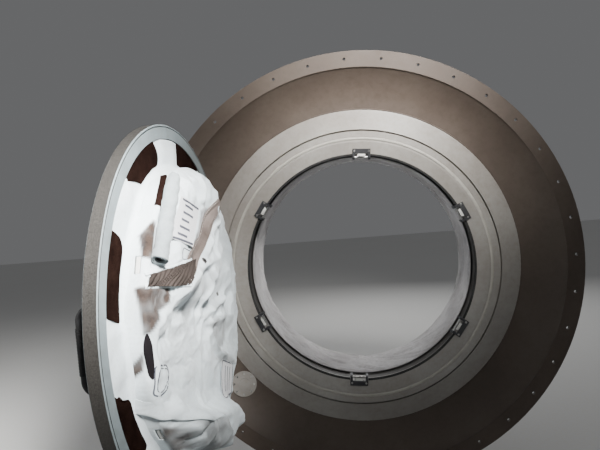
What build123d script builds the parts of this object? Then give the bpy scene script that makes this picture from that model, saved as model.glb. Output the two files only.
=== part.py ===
"""A round pressure hatch of a crewed spacecraft, with the end bulkhead and transfer tunnel that it closes.

Frame: the hatch axis is Y. The crew side is -Y, outboard is +Y, +Z is up and +X is to the right, seen by the crew.
The origin is the centre of the mounting flange's outboard face. Sizes are millimetres and angles are degrees,
counted from +X towards +Z. The door's pieces are drawn closed, and hang() then swings them open to their rest pose.
"""

import math
import os

from build123d import *

os.makedirs("parts", exist_ok=True)

# Hatchway: radii count outwards from the clear bore, and depths from the sealing land
clear_radius = 400.0
land_y = 16.0
lip_depth = 8.0
lip_width = 40.0
land_width = 37.0
ring_depth = 42.0

# Groove, flared band and edge of the hatch ring
groove_width = 6.0
groove_depth = 14.0
band_step = 4.0
band_width = 62.0
band_rise = 26.0
edge_width = 11.0

# Recess in the land beside the hinges
relief_width = 16.0
relief_lap = 3.0
relief_depth = 10.0
relief_start_angle = 172.0
relief_span = 24.0

# Seals
seal_inset = 6.0
seal_width = 10.0
seal_groove_depth = 6.0
seal_crown = 2.6
bead_width = 7.0
bead_height = 9.0

# End dome and mounting flange
dome_width = 134.0
dome_thickness = 8.0
dome_bulge = 12.0
dome_lap = 2.0
flange_width = 55.0
flange_thickness = 14.0
flange_bolt_inset = 28.0
flange_bolt_count = 36
flange_bolt_radius = 5.0

# Transfer tunnel
tunnel_wall = 8.0
tunnel_length = 278.0
tunnel_flange_width = 55.0
tunnel_flange_thickness = 12.0
tunnel_bolt_inset = 32.0
tunnel_bolt_count = 24
tunnel_bolt_radius = 4.5
liner_thickness = 6.0
liner_start = 42.0
gusset_count = 12
gusset_thickness = 6.0
gusset_reach = 132.0
gusset_height = 160.0
gusset_toe = 12.0
gusset_head = 14.0

# Latches
latch_count = 6
first_latch_angle = 25.0
dog_width = 36.0
dog_thickness = 12.0
dog_length = 36.0
dog_stroke = 32.0
dog_clearance = 1.0
dog_to_floor = 4.5
dog_tip_chamfer = 3.0
rod_width = 22.0
rod_thickness = 10.0
rod_inner_radius = 54.0
guide_setback = 46.0
guide_length = 25.0
guide_wall = 10.0

# Keepers on the ring
keeper_reach = 20.0
keeper_foot = 16.0
keeper_foot_thickness = 5.0
keeper_cheek = 8.0
keeper_side_gap = 5.0
keeper_overhang = 8.0
roller_radius = 5.0
roller_pin_radius = 2.5
roller_inset = 2.5
roller_play = 0.5

# Door
door_gap = 3.0
door_margin = 5.0
rim_width = 35.0
rim_thickness = 30.0
rim_chamfer = 1.5
rim_groove_inset = 4.0
rim_groove_width = 2.5
rim_groove_depth = 2.5
web_recess = 7.0
web_thickness = 8.0
drum_gap = 44.0
drum_wall_thickness = 8.0
drum_height = 44.0
drum_chamfer = 12.0
rib_count = 8
first_rib_angle = 22.5
rib_thickness = 8.0
floor_rib_height = 24.0
floor_rib_thickness = 6.0
floor_rib_setback = 14.0
floor_rib_angles = (175.0, 235.0, 295.0, 355.0)
weld_gap = 0.2

# Hinge
hinge_offset = 110.0
hinge_drop = 70.0
hinge_spacing = 220.0
hinge_arm_width = 36.0
hinge_arm_foot_height = 20.0
hinge_arm_rise = 28.0
barrel_radius = 20.0
hinge_pin_radius = 8.0
hinge_pin_head = 12.0
hinge_pin_head_length = 5.0
hinge_cheek = 12.0
hinge_side_gap = 1.0
hinge_heel = 32.0
hinge_toe = 22.0
hinge_foot_thickness = 9.0
rest_opening = 92.0

# Gearbox and handle
gearbox_radius = 95.0
gearbox_height = 30.0
gearbox_pocket_radius = 50.0
gearbox_cover_radius = 88.0
gearbox_cover_thickness = 6.0
gearbox_boss_radius = 26.0
gearbox_boss_height = 12.0
shaft_radius = 12.0
shaft_reach = 26.0
lever_length = 210.0
lever_thickness = 14.0
lever_hub_radius = 25.0
lever_tip_radius = 14.0
knob_radius = 13.0
knob_length = 55.0

# Vent valve, gauge and grab handle
instrument_inset = 133.0
vent_angle = 55.0
gauge_angle = 115.0
vent_body_radius = 34.0
vent_body_height = 36.0
vent_stem_radius = 10.0
vent_stem_height = 16.0
vent_bar_length = 90.0
vent_bar_width = 16.0
vent_bar_thickness = 12.0
gauge_body_radius = 38.0
gauge_body_height = 28.0
gauge_recess = 5.0
gauge_bezel = 5.0
grab_inset = 39.0
grab_half_length = 80.0
grab_height = 55.0
grab_bar_radius = 9.0
grab_bend = 22.0

# Feed-through cover on the dome
port_angle = 221.0
port_inset = 95.0
port_radius = 45.0
port_height = 12.0
port_cap_radius = 20.0
port_cap_height = 8.0
port_seat = 1.0

# Cloth pieces: how far they stay off what carries them, and their thickness
cloth_gap = 0.3
cover_thickness = 5.0
skirt_thickness = 3.0
skirt_margin = 1.0
patch_count = 8
first_patch_angle = 20.0
patch_width = 46.0
patch_span = 24.0
patch_thickness = 1.5

# Stowage bags on the door's cover: each corner's inset from the edge of the cover's flat, and its angle
bag_height = 30.0
bag_foot_round = 25.0
bag_crown_round = 18.0
bag_foot = (
    (109, 12), (27, 25.8), (13, 53.9), (-5, 73.6), (-6, 99.7), (13, 119.4), (88, 133.5), (164, 156.2),
    (307, 20.6)
)
bag_crown = (
    (140, 21), (81, 29), (54, 56), (23, 74.9), (10, 94.2), (44, 108.1), (130, 117.1), (215, 132),
    (275, 47.7)
)
sag_height = 70.0
sag_foot = (
    (54, -24), (63, -45.7), (107, -75.7), (84, -109.8), (0, -118.2), (-6, -99.7), (-5, -76.9),
    (-4, -52.5), (-5, -24.7)
)
sag_crown = (
    (79, -39), (72, -50.9), (90, -74.4), (86, -94.4), (42, -97.5), (24, -90), (19, -76.9), (22, -60.7),
    (37, -39.8)
)
roll_radius = 17.0
roll_low = (-3, 29)
roll_high = (-15.6, 54.5)

# Worked out from the sizes above
land_inner_radius = clear_radius + lip_width
groove_inner_radius = land_inner_radius + land_width
band_inner_radius = groove_inner_radius + groove_width
band_outer_radius = band_inner_radius + band_width
ring_outer_radius = band_outer_radius + edge_width
flange_inner_radius = ring_outer_radius + dome_width
flange_outer_radius = flange_inner_radius + flange_width
seal_inner_radius = land_inner_radius + seal_inset
seal_outer_radius = seal_inner_radius + seal_width
relief_radius = groove_inner_radius + relief_lap - relief_width / 2
lip_y = land_y + lip_depth
lip_slope = lip_depth / lip_width
band_slope = band_rise / band_width
band_inner_y = land_y + band_step
ring_back_y = land_y + ring_depth
dome_rim_y = dome_lap - flange_thickness
tunnel_end_y = ring_back_y + tunnel_length
tunnel_outer_radius = clear_radius + tunnel_wall

door_face_y = land_y - door_gap
door_radius = groove_inner_radius - door_margin
rim_inner_radius = door_radius - rim_width
rim_crew_y = door_face_y - rim_thickness
rim_groove_radius = door_radius - rim_groove_inset
web_y = door_face_y - web_recess
web_crew_y = web_y - web_thickness
drum_radius = clear_radius - drum_gap
drum_inner_radius = drum_radius - drum_wall_thickness
drum_end_y = door_face_y + drum_height
floor_y = drum_end_y - drum_wall_thickness
instrument_radius = drum_inner_radius - instrument_inset
cover_end_y = drum_end_y + cloth_gap + cover_thickness
cover_radius = drum_radius + cloth_gap + cover_thickness
cover_flat_radius = cover_radius - drum_chamfer

rod_y = floor_y - dog_to_floor - dog_thickness / 2
dog_tip_radius = cover_radius
guide_radius = drum_inner_radius - guide_setback - guide_length / 2
latch_angles = [first_latch_angle + 360 / latch_count * i for i in range(latch_count)]
keeper_inner_radius = clear_radius - keeper_reach
keeper_pocket = dog_width + 2 * keeper_side_gap
keeper_width = keeper_pocket + 2 * keeper_cheek
keeper_end_y = rod_y + dog_thickness / 2 + keeper_overhang
roller_y = rod_y - dog_thickness / 2 - roller_play - roller_radius
roller_axis_radius = keeper_inner_radius + roller_inset + roller_radius

hinge_x = -clear_radius - hinge_offset
hinge_y = land_y - hinge_drop
hinge_axis = Axis((hinge_x, hinge_y, 0), (0, 0, 1))
hinge_heights = (-hinge_spacing / 2, hinge_spacing / 2)
hinge_slot = hinge_arm_width + 2 * hinge_side_gap
hinge_bracket_width = hinge_slot + 2 * hinge_cheek
gearbox_top_y = floor_y - gearbox_height
boss_top_y = gearbox_top_y - gearbox_cover_thickness - gearbox_boss_height
lever_y = boss_top_y - shaft_reach


def hang(shape):
    """The shape swung with the door about the hinge axis, from closed to its rest opening."""
    return shape.rotate(hinge_axis, -rest_opening)


def about_axis(shape, angle):
    """The shape turned about the hatch axis, from +X towards +Z."""
    return shape.rotate(Axis.Y, -angle)


def facing_crew(y):
    """The plane across the hatch axis at that depth, whose normal points to the crew."""
    return Plane.XZ.offset(-y)


def turned(*points):
    """A face in the plane of radius and depth, to be revolved about the hatch axis."""
    with BuildSketch(Plane.XY) as section:
        with BuildLine():
            Polyline(*points, close=True)
        make_face()
    return section.sketch


def save(shape, label):
    """Names a finished piece and writes it."""
    shape.label = label
    export_step(shape, f"parts/{label}.step")


# Mounting flange
with BuildPart() as mounting_flange:
    with BuildSketch(facing_crew(0)):
        Circle(flange_outer_radius)
        Circle(flange_inner_radius, mode=Mode.SUBTRACT)
        with PolarLocations(flange_inner_radius + flange_bolt_inset, flange_bolt_count):
            Circle(flange_bolt_radius, mode=Mode.SUBTRACT)
    extrude(amount=flange_thickness)
save(mounting_flange.part, "mounting_flange")

# End dome, concave to the crew
dome_outer = Vector(flange_inner_radius, dome_rim_y)
dome_inner = Vector(ring_outer_radius, ring_back_y - dome_thickness)
dome_chord = dome_inner - dome_outer
dome_normal = Vector(dome_chord.Y, -dome_chord.X).normalized()
dome_middle = (dome_outer + dome_inner) * 0.5 + dome_normal * dome_bulge
dome_back = Vector(0, dome_thickness)
with BuildPart() as end_dome:
    with BuildSketch(Plane.XY):
        with BuildLine():
            ThreePointArc(dome_outer, dome_middle, dome_inner)
            Line(dome_inner, dome_inner + dome_back)
            ThreePointArc(
                dome_inner + dome_back,
                dome_middle + dome_normal * dome_thickness,
                dome_outer + dome_back,
            )
            Line(dome_outer + dome_back, dome_outer)
        make_face()
    revolve(axis=Axis.Y)
save(end_dome.part, "end_dome")

# Hatch ring: flared band, shadow groove, sealing land, inner cone and bore
with BuildPart() as hatch_ring:
    revolve(
        turned(
            (ring_outer_radius, ring_back_y - dome_thickness),
            (band_outer_radius, band_inner_y + band_rise),
            (band_inner_radius, band_inner_y),
            (band_inner_radius, land_y + groove_depth),
            (groove_inner_radius, land_y + groove_depth),
            (groove_inner_radius, land_y),
            (seal_outer_radius, land_y),
            (seal_outer_radius, land_y + seal_groove_depth),
            (seal_inner_radius, land_y + seal_groove_depth),
            (seal_inner_radius, land_y),
            (land_inner_radius, land_y),
            (clear_radius, lip_y),
            (clear_radius, ring_back_y),
            (ring_outer_radius, ring_back_y),
        ),
        axis=Axis.Y,
    )
    with BuildSketch(facing_crew(land_y + relief_depth)):
        SlotArc(
            CenterArc((0, 0), relief_radius, relief_start_angle, relief_span, mode=Mode.PRIVATE),
            height=relief_width,
        )
    extrude(amount=2 * relief_depth, mode=Mode.SUBTRACT)
save(hatch_ring.part, "hatch_ring")

# Silicone seal in the land
with BuildPart() as ring_seal:
    with BuildSketch(Plane.XY):
        with BuildLine():
            Polyline(
                (seal_inner_radius, land_y),
                (seal_inner_radius, land_y + seal_groove_depth),
                (seal_outer_radius, land_y + seal_groove_depth),
                (seal_outer_radius, land_y),
            )
            ThreePointArc(
                (seal_outer_radius, land_y),
                ((seal_inner_radius + seal_outer_radius) / 2, land_y - seal_crown),
                (seal_inner_radius, land_y),
            )
        make_face()
    revolve(axis=Axis.Y)
save(ring_seal.part, "ring_seal")

# Keeper brackets: two cheeks on a foot, at each latch
keeper_foot_y = lip_y - keeper_foot * lip_slope
with BuildPart() as keeper_bracket:
    with BuildSketch(Plane.XY.offset(-keeper_width / 2)):
        with BuildLine():
            Polyline(
                (clear_radius + keeper_foot, keeper_foot_y),
                (clear_radius + keeper_foot, keeper_foot_y - keeper_foot_thickness),
                (keeper_inner_radius + keeper_cheek / 2, lip_y - keeper_foot_thickness),
                (keeper_inner_radius, lip_y - keeper_foot_thickness / 2),
                (keeper_inner_radius, keeper_end_y),
                (clear_radius + keeper_foot, keeper_end_y),
                close=True,
            )
        make_face()
    extrude(amount=keeper_width)
    with BuildSketch(Plane.XY.offset(-keeper_pocket / 2)):
        with Locations((clear_radius - keeper_reach, lip_y)):
            Rectangle(2 * keeper_reach, 4 * keeper_end_y)
    extrude(amount=keeper_pocket, mode=Mode.SUBTRACT)
    with BuildSketch(Plane.XY.offset(-keeper_width / 2)):
        with Locations((roller_axis_radius, roller_y)):
            Circle(roller_pin_radius)
    extrude(amount=keeper_width, mode=Mode.SUBTRACT)
    revolve(
        turned(
            (land_inner_radius, land_y),
            (clear_radius, lip_y),
            (clear_radius, tunnel_end_y),
            (land_inner_radius, tunnel_end_y),
        ),
        axis=Axis.Y,
        mode=Mode.SUBTRACT,
    )
with BuildPart() as keeper_brackets:
    for angle in latch_angles:
        add(about_axis(keeper_bracket.part, angle))
save(keeper_brackets.part, "keeper_brackets")

# Keeper rollers, each on its pin
with BuildPart() as keeper_roller:
    with BuildSketch(Plane.XY.offset(-keeper_width / 2)):
        with Locations((roller_axis_radius, roller_y)):
            Circle(roller_pin_radius)
    extrude(amount=keeper_width)
    with BuildSketch(Plane.XY.offset(-keeper_pocket / 2 + cloth_gap)):
        with Locations((roller_axis_radius, roller_y)):
            Circle(roller_radius)
    extrude(amount=keeper_pocket - 2 * cloth_gap)
with BuildPart() as keeper_rollers:
    for angle in latch_angles:
        add(about_axis(keeper_roller.part, angle))
save(keeper_rollers.part, "keeper_rollers")

# Rubber bead round the bore's lip, between the keepers
with BuildPart() as lip_bead:
    revolve(
        turned(
            (clear_radius, lip_y),
            (clear_radius - bead_width, lip_y + bead_height / 4),
            (clear_radius - bead_width, lip_y + bead_height * 3 / 4),
            (clear_radius, lip_y + bead_height),
        ),
        axis=Axis.Y,
    )
    with BuildSketch(facing_crew(lip_y + bead_height)):
        with PolarLocations(clear_radius, latch_count, first_latch_angle):
            Rectangle(4 * bead_width, keeper_width + 2 * dog_clearance)
    extrude(amount=2 * bead_height, mode=Mode.SUBTRACT)
save(lip_bead.part, "lip_bead")

# Transfer tunnel behind the ring
with BuildPart() as tunnel_tube:
    with BuildSketch(facing_crew(tunnel_end_y - tunnel_flange_thickness)):
        Circle(tunnel_outer_radius)
        Circle(clear_radius, mode=Mode.SUBTRACT)
    extrude(amount=tunnel_length - tunnel_flange_thickness)
save(tunnel_tube.part, "tunnel_tube")

# Outboard flange of the tunnel
with BuildPart() as tunnel_flange:
    with BuildSketch(facing_crew(tunnel_end_y)):
        Circle(clear_radius + tunnel_flange_width)
        Circle(clear_radius, mode=Mode.SUBTRACT)
        with PolarLocations(clear_radius + tunnel_bolt_inset, tunnel_bolt_count):
            Circle(tunnel_bolt_radius, mode=Mode.SUBTRACT)
    extrude(amount=tunnel_flange_thickness)
save(tunnel_flange.part, "tunnel_flange")

# Cloth lining of the tunnel
with BuildPart() as tunnel_liner:
    with BuildSketch(facing_crew(tunnel_end_y)):
        Circle(clear_radius - cloth_gap)
        Circle(clear_radius - cloth_gap - liner_thickness, mode=Mode.SUBTRACT)
    extrude(amount=tunnel_length - liner_start)
save(tunnel_liner.part, "tunnel_liner")

# Gussets between the tunnel and the ring's back
with BuildPart() as gusset:
    with BuildSketch(Plane.XY.offset(-gusset_thickness / 2)):
        with BuildLine():
            Polyline(
                (clear_radius, ring_back_y),
                (tunnel_outer_radius + gusset_reach, ring_back_y),
                (tunnel_outer_radius + gusset_reach, ring_back_y + gusset_toe),
                (tunnel_outer_radius + gusset_head, ring_back_y + gusset_height),
                (clear_radius, ring_back_y + gusset_height),
                close=True,
            )
        make_face()
    extrude(amount=gusset_thickness)
    with BuildSketch(facing_crew(tunnel_end_y)):
        Circle(tunnel_outer_radius)
    extrude(amount=tunnel_length, mode=Mode.SUBTRACT)
with BuildPart() as tunnel_gussets:
    for i in range(gusset_count):
        add(about_axis(gusset.part, 360 / gusset_count * i))
save(tunnel_gussets.part, "tunnel_gussets")

# Round feed-through cover, seated on the dome
port_arc = ThreePointArc(dome_outer, dome_middle, dome_inner)
port_share = port_inset / dome_width
port_slope = port_arc % port_share
port_plane = Plane(
    origin=port_arc @ port_share, x_dir=(0, 0, 1), z_dir=Vector(-port_slope.Y, port_slope.X)
)
with BuildPart() as feedthrough_cover:
    with BuildSketch(port_plane.offset(-port_seat)):
        Circle(port_radius)
    extrude(amount=port_height + port_seat)
    with BuildSketch(port_plane.offset(port_height)):
        Circle(port_cap_radius)
    extrude(amount=port_cap_height)
    add(end_dome.part, mode=Mode.SUBTRACT)
    add(hatch_ring.part, mode=Mode.SUBTRACT)
save(about_axis(feedthrough_cover.part, port_angle), "feedthrough_cover")

# Hinge brackets on the ring's band
hinge_radius = math.hypot(hinge_x, hinge_spacing / 2)
hinge_floor_y = (
    band_inner_y + band_slope * (hinge_radius - band_inner_radius) - hinge_foot_thickness
)
slot_reach = 3 * barrel_radius
with BuildPart() as hinge_brackets:
    for height in hinge_heights:
        with BuildSketch(Plane.XY.offset(height - hinge_bracket_width / 2)):
            with BuildLine():
                Polyline(
                    (hinge_x - hinge_heel, ring_back_y - dome_thickness),
                    (hinge_x - barrel_radius, hinge_y),
                    (hinge_x + barrel_radius, hinge_y),
                    (hinge_x + hinge_toe, ring_back_y - dome_thickness),
                    close=True,
                )
            make_face()
            with Locations((hinge_x, hinge_y)):
                Circle(barrel_radius)
                Circle(hinge_pin_radius, mode=Mode.SUBTRACT)
        extrude(amount=hinge_bracket_width)
        with BuildSketch(Plane.XY.offset(height - hinge_slot / 2)):
            with BuildLine():
                Polyline(
                    (hinge_x - slot_reach, hinge_y - 2 * barrel_radius),
                    (hinge_x + slot_reach, hinge_y - 2 * barrel_radius),
                    (hinge_x + slot_reach, hinge_floor_y - band_slope * slot_reach),
                    (hinge_x - slot_reach, hinge_floor_y + band_slope * slot_reach),
                    close=True,
                )
            make_face()
        extrude(amount=hinge_slot, mode=Mode.SUBTRACT)
    add(hatch_ring.part, mode=Mode.SUBTRACT)
    add(end_dome.part, mode=Mode.SUBTRACT)
save(hinge_brackets.part, "hinge_brackets")

# Hinge pins with heads
with BuildPart() as hinge_pins:
    for height in hinge_heights:
        bracket_low = height - hinge_bracket_width / 2
        with BuildSketch(Plane.XY.offset(bracket_low)):
            with Locations((hinge_x, hinge_y)):
                Circle(hinge_pin_radius)
        extrude(amount=hinge_bracket_width)
        for end in (bracket_low - hinge_pin_head_length, bracket_low + hinge_bracket_width):
            with BuildSketch(Plane.XY.offset(end)):
                with Locations((hinge_x, hinge_y)):
                    Circle(hinge_pin_head)
            extrude(amount=hinge_pin_head_length)
save(hinge_pins.part, "hinge_pins")

# Door ring: rim and web in one piece, with a fine groove round the rim's face and ribs on the crew side
rib_middle_radius = (rim_inner_radius + drum_radius) / 2
with BuildPart() as door_ring:
    revolve(
        turned(
            (rim_groove_radius, door_face_y),
            (door_radius - rim_chamfer, door_face_y),
            (door_radius, door_face_y - rim_chamfer),
            (door_radius, rim_crew_y + rim_chamfer),
            (door_radius - rim_chamfer, rim_crew_y),
            (rim_inner_radius, rim_crew_y),
            (rim_inner_radius, web_crew_y),
            (drum_inner_radius, web_crew_y),
            (drum_inner_radius, web_y),
            (rim_inner_radius, web_y),
            (rim_inner_radius, door_face_y),
            (rim_groove_radius - rim_groove_width, door_face_y),
            (rim_groove_radius - rim_groove_width, door_face_y - rim_groove_depth),
            (rim_groove_radius, door_face_y - rim_groove_depth),
        ),
        axis=Axis.Y,
    )
    with BuildSketch(facing_crew(web_crew_y)):
        with PolarLocations(rib_middle_radius, rib_count, first_rib_angle):
            Rectangle(rim_inner_radius - drum_radius + 2, rib_thickness)
    extrude(amount=web_crew_y - rim_crew_y)
save(hang(door_ring.part), "door_ring")

# Drum wall with a slot for each dog
with BuildPart() as drum_wall:
    revolve(
        turned(
            (drum_radius, web_y),
            (drum_radius, drum_end_y - drum_chamfer),
            (drum_radius - drum_chamfer, drum_end_y),
            (drum_inner_radius - drum_chamfer, drum_end_y),
            (drum_inner_radius - drum_chamfer, floor_y),
            (drum_inner_radius, floor_y),
            (drum_inner_radius, web_y),
        ),
        axis=Axis.Y,
    )
    with BuildSketch(facing_crew(rod_y + dog_thickness / 2 + dog_clearance)):
        with PolarLocations(drum_radius, latch_count, first_latch_angle):
            Rectangle(4 * drum_wall_thickness, dog_width + 2 * dog_clearance)
    extrude(amount=dog_thickness + 2 * dog_clearance, mode=Mode.SUBTRACT)
save(hang(drum_wall.part), "drum_wall")

# Drum end plate with stiffening ribs
plate_radius = drum_inner_radius - drum_chamfer - weld_gap
rib_low = gearbox_radius + floor_rib_setback
rib_high = plate_radius - weld_gap
with BuildPart() as drum_plate:
    with BuildSketch(facing_crew(drum_end_y)):
        Circle(plate_radius)
    extrude(amount=drum_wall_thickness)
    with BuildSketch(facing_crew(floor_y)):
        for angle in floor_rib_angles:
            with PolarLocations((rib_low + rib_high) / 2, 1, angle):
                Rectangle(rib_high - rib_low, floor_rib_thickness)
    extrude(amount=floor_rib_height)
save(hang(drum_plate.part), "drum_plate")

# Hinge arms, bolted over the rim and footed on the web
arm_foot_x = -drum_radius + dog_clearance
with BuildPart() as hinge_arms:
    for height in hinge_heights:
        with BuildSketch(Plane.XY.offset(height - hinge_arm_width / 2)):
            with BuildLine():
                Polyline(
                    (arm_foot_x, web_crew_y),
                    (arm_foot_x, web_crew_y - hinge_arm_foot_height),
                    (-rim_inner_radius, rim_crew_y - hinge_arm_rise),
                    (hinge_x, hinge_y - barrel_radius),
                    (hinge_x, hinge_y + barrel_radius),
                    (-rim_inner_radius - barrel_radius, rim_crew_y),
                    (-rim_inner_radius, web_crew_y),
                    close=True,
                )
            make_face()
            with Locations((hinge_x, hinge_y)):
                Circle(barrel_radius)
                Circle(hinge_pin_radius + 0.05, mode=Mode.SUBTRACT)
        extrude(amount=hinge_arm_width)
    add(door_ring.part, mode=Mode.SUBTRACT)
save(hang(hinge_arms.part), "hinge_arms")

# Gearbox housing with a pocket for each rod
with BuildPart() as gearbox_housing:
    with BuildSketch(facing_crew(floor_y)):
        Circle(gearbox_radius)
    extrude(amount=gearbox_height)
    with BuildSketch(facing_crew(rod_y + rod_thickness / 2 + dog_clearance)):
        with PolarLocations(gearbox_pocket_radius + gearbox_radius / 2, latch_count, first_latch_angle):
            Rectangle(gearbox_radius, rod_width + 2 * dog_clearance)
    extrude(amount=rod_thickness + 2 * dog_clearance, mode=Mode.SUBTRACT)
save(hang(gearbox_housing.part), "gearbox_housing")

# Gearbox cover with the shaft's boss
shaft_bore_radius = shaft_radius + 0.05
with BuildPart() as gearbox_cover:
    with BuildSketch(facing_crew(gearbox_top_y)):
        Circle(gearbox_cover_radius)
        Circle(shaft_bore_radius, mode=Mode.SUBTRACT)
    extrude(amount=gearbox_cover_thickness)
    with BuildSketch(facing_crew(gearbox_top_y - gearbox_cover_thickness)):
        Circle(gearbox_boss_radius)
        Circle(shaft_bore_radius, mode=Mode.SUBTRACT)
    extrude(amount=gearbox_boss_height)
save(hang(gearbox_cover.part), "gearbox_cover")

# Latch handle: shaft, lever and knob
with BuildPart() as latch_handle:
    with BuildSketch(facing_crew(gearbox_top_y - cloth_gap)):
        Circle(shaft_radius)
    extrude(amount=gearbox_top_y - cloth_gap - lever_y)
    with BuildSketch(facing_crew(lever_y)):
        Circle(lever_hub_radius)
        with Locations((0, -lever_length)):
            Circle(lever_tip_radius)
        make_hull()
    extrude(amount=lever_thickness)
    with BuildSketch(facing_crew(lever_y - lever_thickness)):
        with Locations((0, -lever_length)):
            Circle(knob_radius)
    extrude(amount=knob_length, taper=-2)
save(hang(latch_handle.part), "latch_handle")

# Rod guides on the drum's floor
with BuildPart() as rod_guides:
    with BuildSketch(facing_crew(floor_y)):
        with PolarLocations(guide_radius, latch_count, first_latch_angle):
            Rectangle(guide_length, rod_width + 2 * dog_clearance + 2 * guide_wall)
    extrude(amount=floor_y - rod_y + rod_thickness / 2 + dog_clearance + guide_wall)
    with BuildSketch(facing_crew(rod_y + rod_thickness / 2 + dog_clearance)):
        with PolarLocations(guide_radius, latch_count, first_latch_angle):
            Rectangle(2 * guide_length, rod_width + 2 * dog_clearance)
    extrude(amount=rod_thickness + 2 * dog_clearance, mode=Mode.SUBTRACT)
save(hang(rod_guides.part), "rod_guides")

# Latch dogs, each with its rod
with BuildPart() as dog:
    with BuildSketch(facing_crew(rod_y + rod_thickness / 2)):
        with Locations(((rod_inner_radius + dog_tip_radius - dog_length) / 2, 0)):
            Rectangle(dog_tip_radius - dog_length - rod_inner_radius, rod_width)
    extrude(amount=rod_thickness)
    with BuildSketch(facing_crew(rod_y + dog_thickness / 2)):
        with Locations((dog_tip_radius - dog_length / 2, 0)):
            Rectangle(dog_length, dog_width)
    extrude(amount=dog_thickness)
    chamfer(dog.edges().filter_by(Axis.Z).sort_by(Axis.X)[-2:], length=dog_tip_chamfer)
for number, angle in enumerate(latch_angles, start=1):
    save(hang(about_axis(dog.part, angle)), f"latch_dog_{number}")

# Vent valve: body and stem, then its turning bar
vent_bar_y = floor_y - vent_body_height - vent_stem_height
with BuildPart() as vent_valve:
    with BuildSketch(facing_crew(floor_y)):
        with PolarLocations(instrument_radius, 1, vent_angle):
            Circle(vent_body_radius)
    extrude(amount=vent_body_height)
    with BuildSketch(facing_crew(floor_y - vent_body_height)):
        with PolarLocations(instrument_radius, 1, vent_angle):
            Circle(vent_stem_radius)
    extrude(amount=vent_stem_height)
save(hang(vent_valve.part), "vent_valve")

with BuildPart() as vent_bar:
    with BuildSketch(facing_crew(vent_bar_y)):
        with PolarLocations(instrument_radius, 1, vent_angle):
            SlotOverall(vent_bar_length, vent_bar_width)
    extrude(amount=vent_bar_thickness)
save(hang(vent_bar.part), "vent_bar")

# Pressure gauge with a raised bezel
with BuildPart() as pressure_gauge:
    with BuildSketch(facing_crew(floor_y)):
        with PolarLocations(instrument_radius, 1, gauge_angle):
            Circle(gauge_body_radius)
    extrude(amount=gauge_body_height)
    with BuildSketch(facing_crew(floor_y - gauge_body_height)):
        with PolarLocations(instrument_radius, 1, gauge_angle):
            Circle(gauge_body_radius - gauge_bezel)
    extrude(amount=-gauge_recess, mode=Mode.SUBTRACT)
save(hang(pressure_gauge.part), "pressure_gauge")

# Grab handle on the web, at the free edge
grab_radius = rim_inner_radius - grab_inset
with BuildPart() as grab_handle:
    with BuildLine():
        grab_path = FilletPolyline(
            (grab_radius, web_crew_y, -grab_half_length),
            (grab_radius, web_crew_y - grab_height, -grab_half_length),
            (grab_radius, web_crew_y - grab_height, grab_half_length),
            (grab_radius, web_crew_y, grab_half_length),
            radius=grab_bend,
        )
    with BuildSketch(Plane(origin=grab_path @ 0, z_dir=grab_path % 0)):
        Circle(grab_bar_radius)
    sweep()
save(hang(grab_handle.part), "grab_handle")

# Soft cover over the drum, with a slot for each dog
cover_low_y = web_y + skirt_thickness
with BuildPart() as drum_cover:
    revolve(
        turned(
            (0, drum_end_y + cloth_gap),
            (drum_radius - drum_chamfer + cloth_gap, drum_end_y + cloth_gap),
            (drum_radius + cloth_gap, drum_end_y - drum_chamfer + cloth_gap),
            (drum_radius + cloth_gap, cover_low_y),
            (cover_radius, cover_low_y),
            (cover_radius, cover_end_y - drum_chamfer),
            (cover_flat_radius, cover_end_y),
            (0, cover_end_y),
        ),
        axis=Axis.Y,
    )
    with BuildSketch(facing_crew(rod_y + dog_thickness / 2 + 2 * dog_clearance)):
        with PolarLocations(drum_radius, latch_count, first_latch_angle):
            Rectangle(4 * drum_wall_thickness, dog_width + 4 * dog_clearance)
    extrude(amount=dog_thickness + 4 * dog_clearance, mode=Mode.SUBTRACT)
save(hang(drum_cover.part), "drum_cover")

# Soft skirt over the web
skirt_outer_radius = rim_inner_radius - skirt_margin
with BuildPart() as cover_skirt:
    with BuildSketch(facing_crew(cover_low_y)):
        Circle(skirt_outer_radius)
        Circle(drum_radius + cloth_gap, mode=Mode.SUBTRACT)
    extrude(amount=skirt_thickness - cloth_gap)
save(hang(cover_skirt.part), "cover_skirt")

# Hook-and-loop patches along the skirt's edge
with BuildPart() as fastening_patch:
    revolve(
        turned(
            (skirt_outer_radius - patch_width, cover_low_y),
            (skirt_outer_radius, cover_low_y),
            (skirt_outer_radius, cover_low_y + patch_thickness),
            (skirt_outer_radius - patch_width, cover_low_y + patch_thickness),
        ),
        axis=Axis.Y,
        revolution_arc=patch_span,
    )
with BuildPart() as fastening_patches:
    for i in range(patch_count):
        add(about_axis(fastening_patch.part, first_patch_angle + 360 / patch_count * i + patch_span / 2))
save(hang(fastening_patches.part), "fastening_patches")

# Stowage bags on the drum's cover: the upper one, and the sagging one below it
bag_y = cover_end_y + cloth_gap


def corner(inset, angle):
    """A point (x, z) at that inset from the edge of the cover's flat."""
    reach = cover_flat_radius - inset
    return (reach * math.cos(math.radians(angle)), reach * math.sin(math.radians(angle)))


def outline(corners, y, rounding):
    """A rounded face across the hatch axis at that depth."""
    with BuildSketch(facing_crew(y)) as face:
        with BuildLine():
            Polyline(*[corner(inset, angle) for inset, angle in corners], close=True)
        make_face()
        fillet(face.vertices(), radius=rounding)
    return face.sketch


def soft_block(foot, crown, height):
    """A closed soft form between two outlines, standing on the drum's cover."""
    with BuildPart() as block:
        add(outline(foot, bag_y, bag_foot_round))
        add(outline(crown, bag_y + height, bag_crown_round))
        loft(ruled=True)
    return block.part


save(hang(soft_block(bag_foot, bag_crown, bag_height)), "upper_bag")
save(hang(soft_block(sag_foot, sag_crown, sag_height)), "lower_bag")

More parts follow.
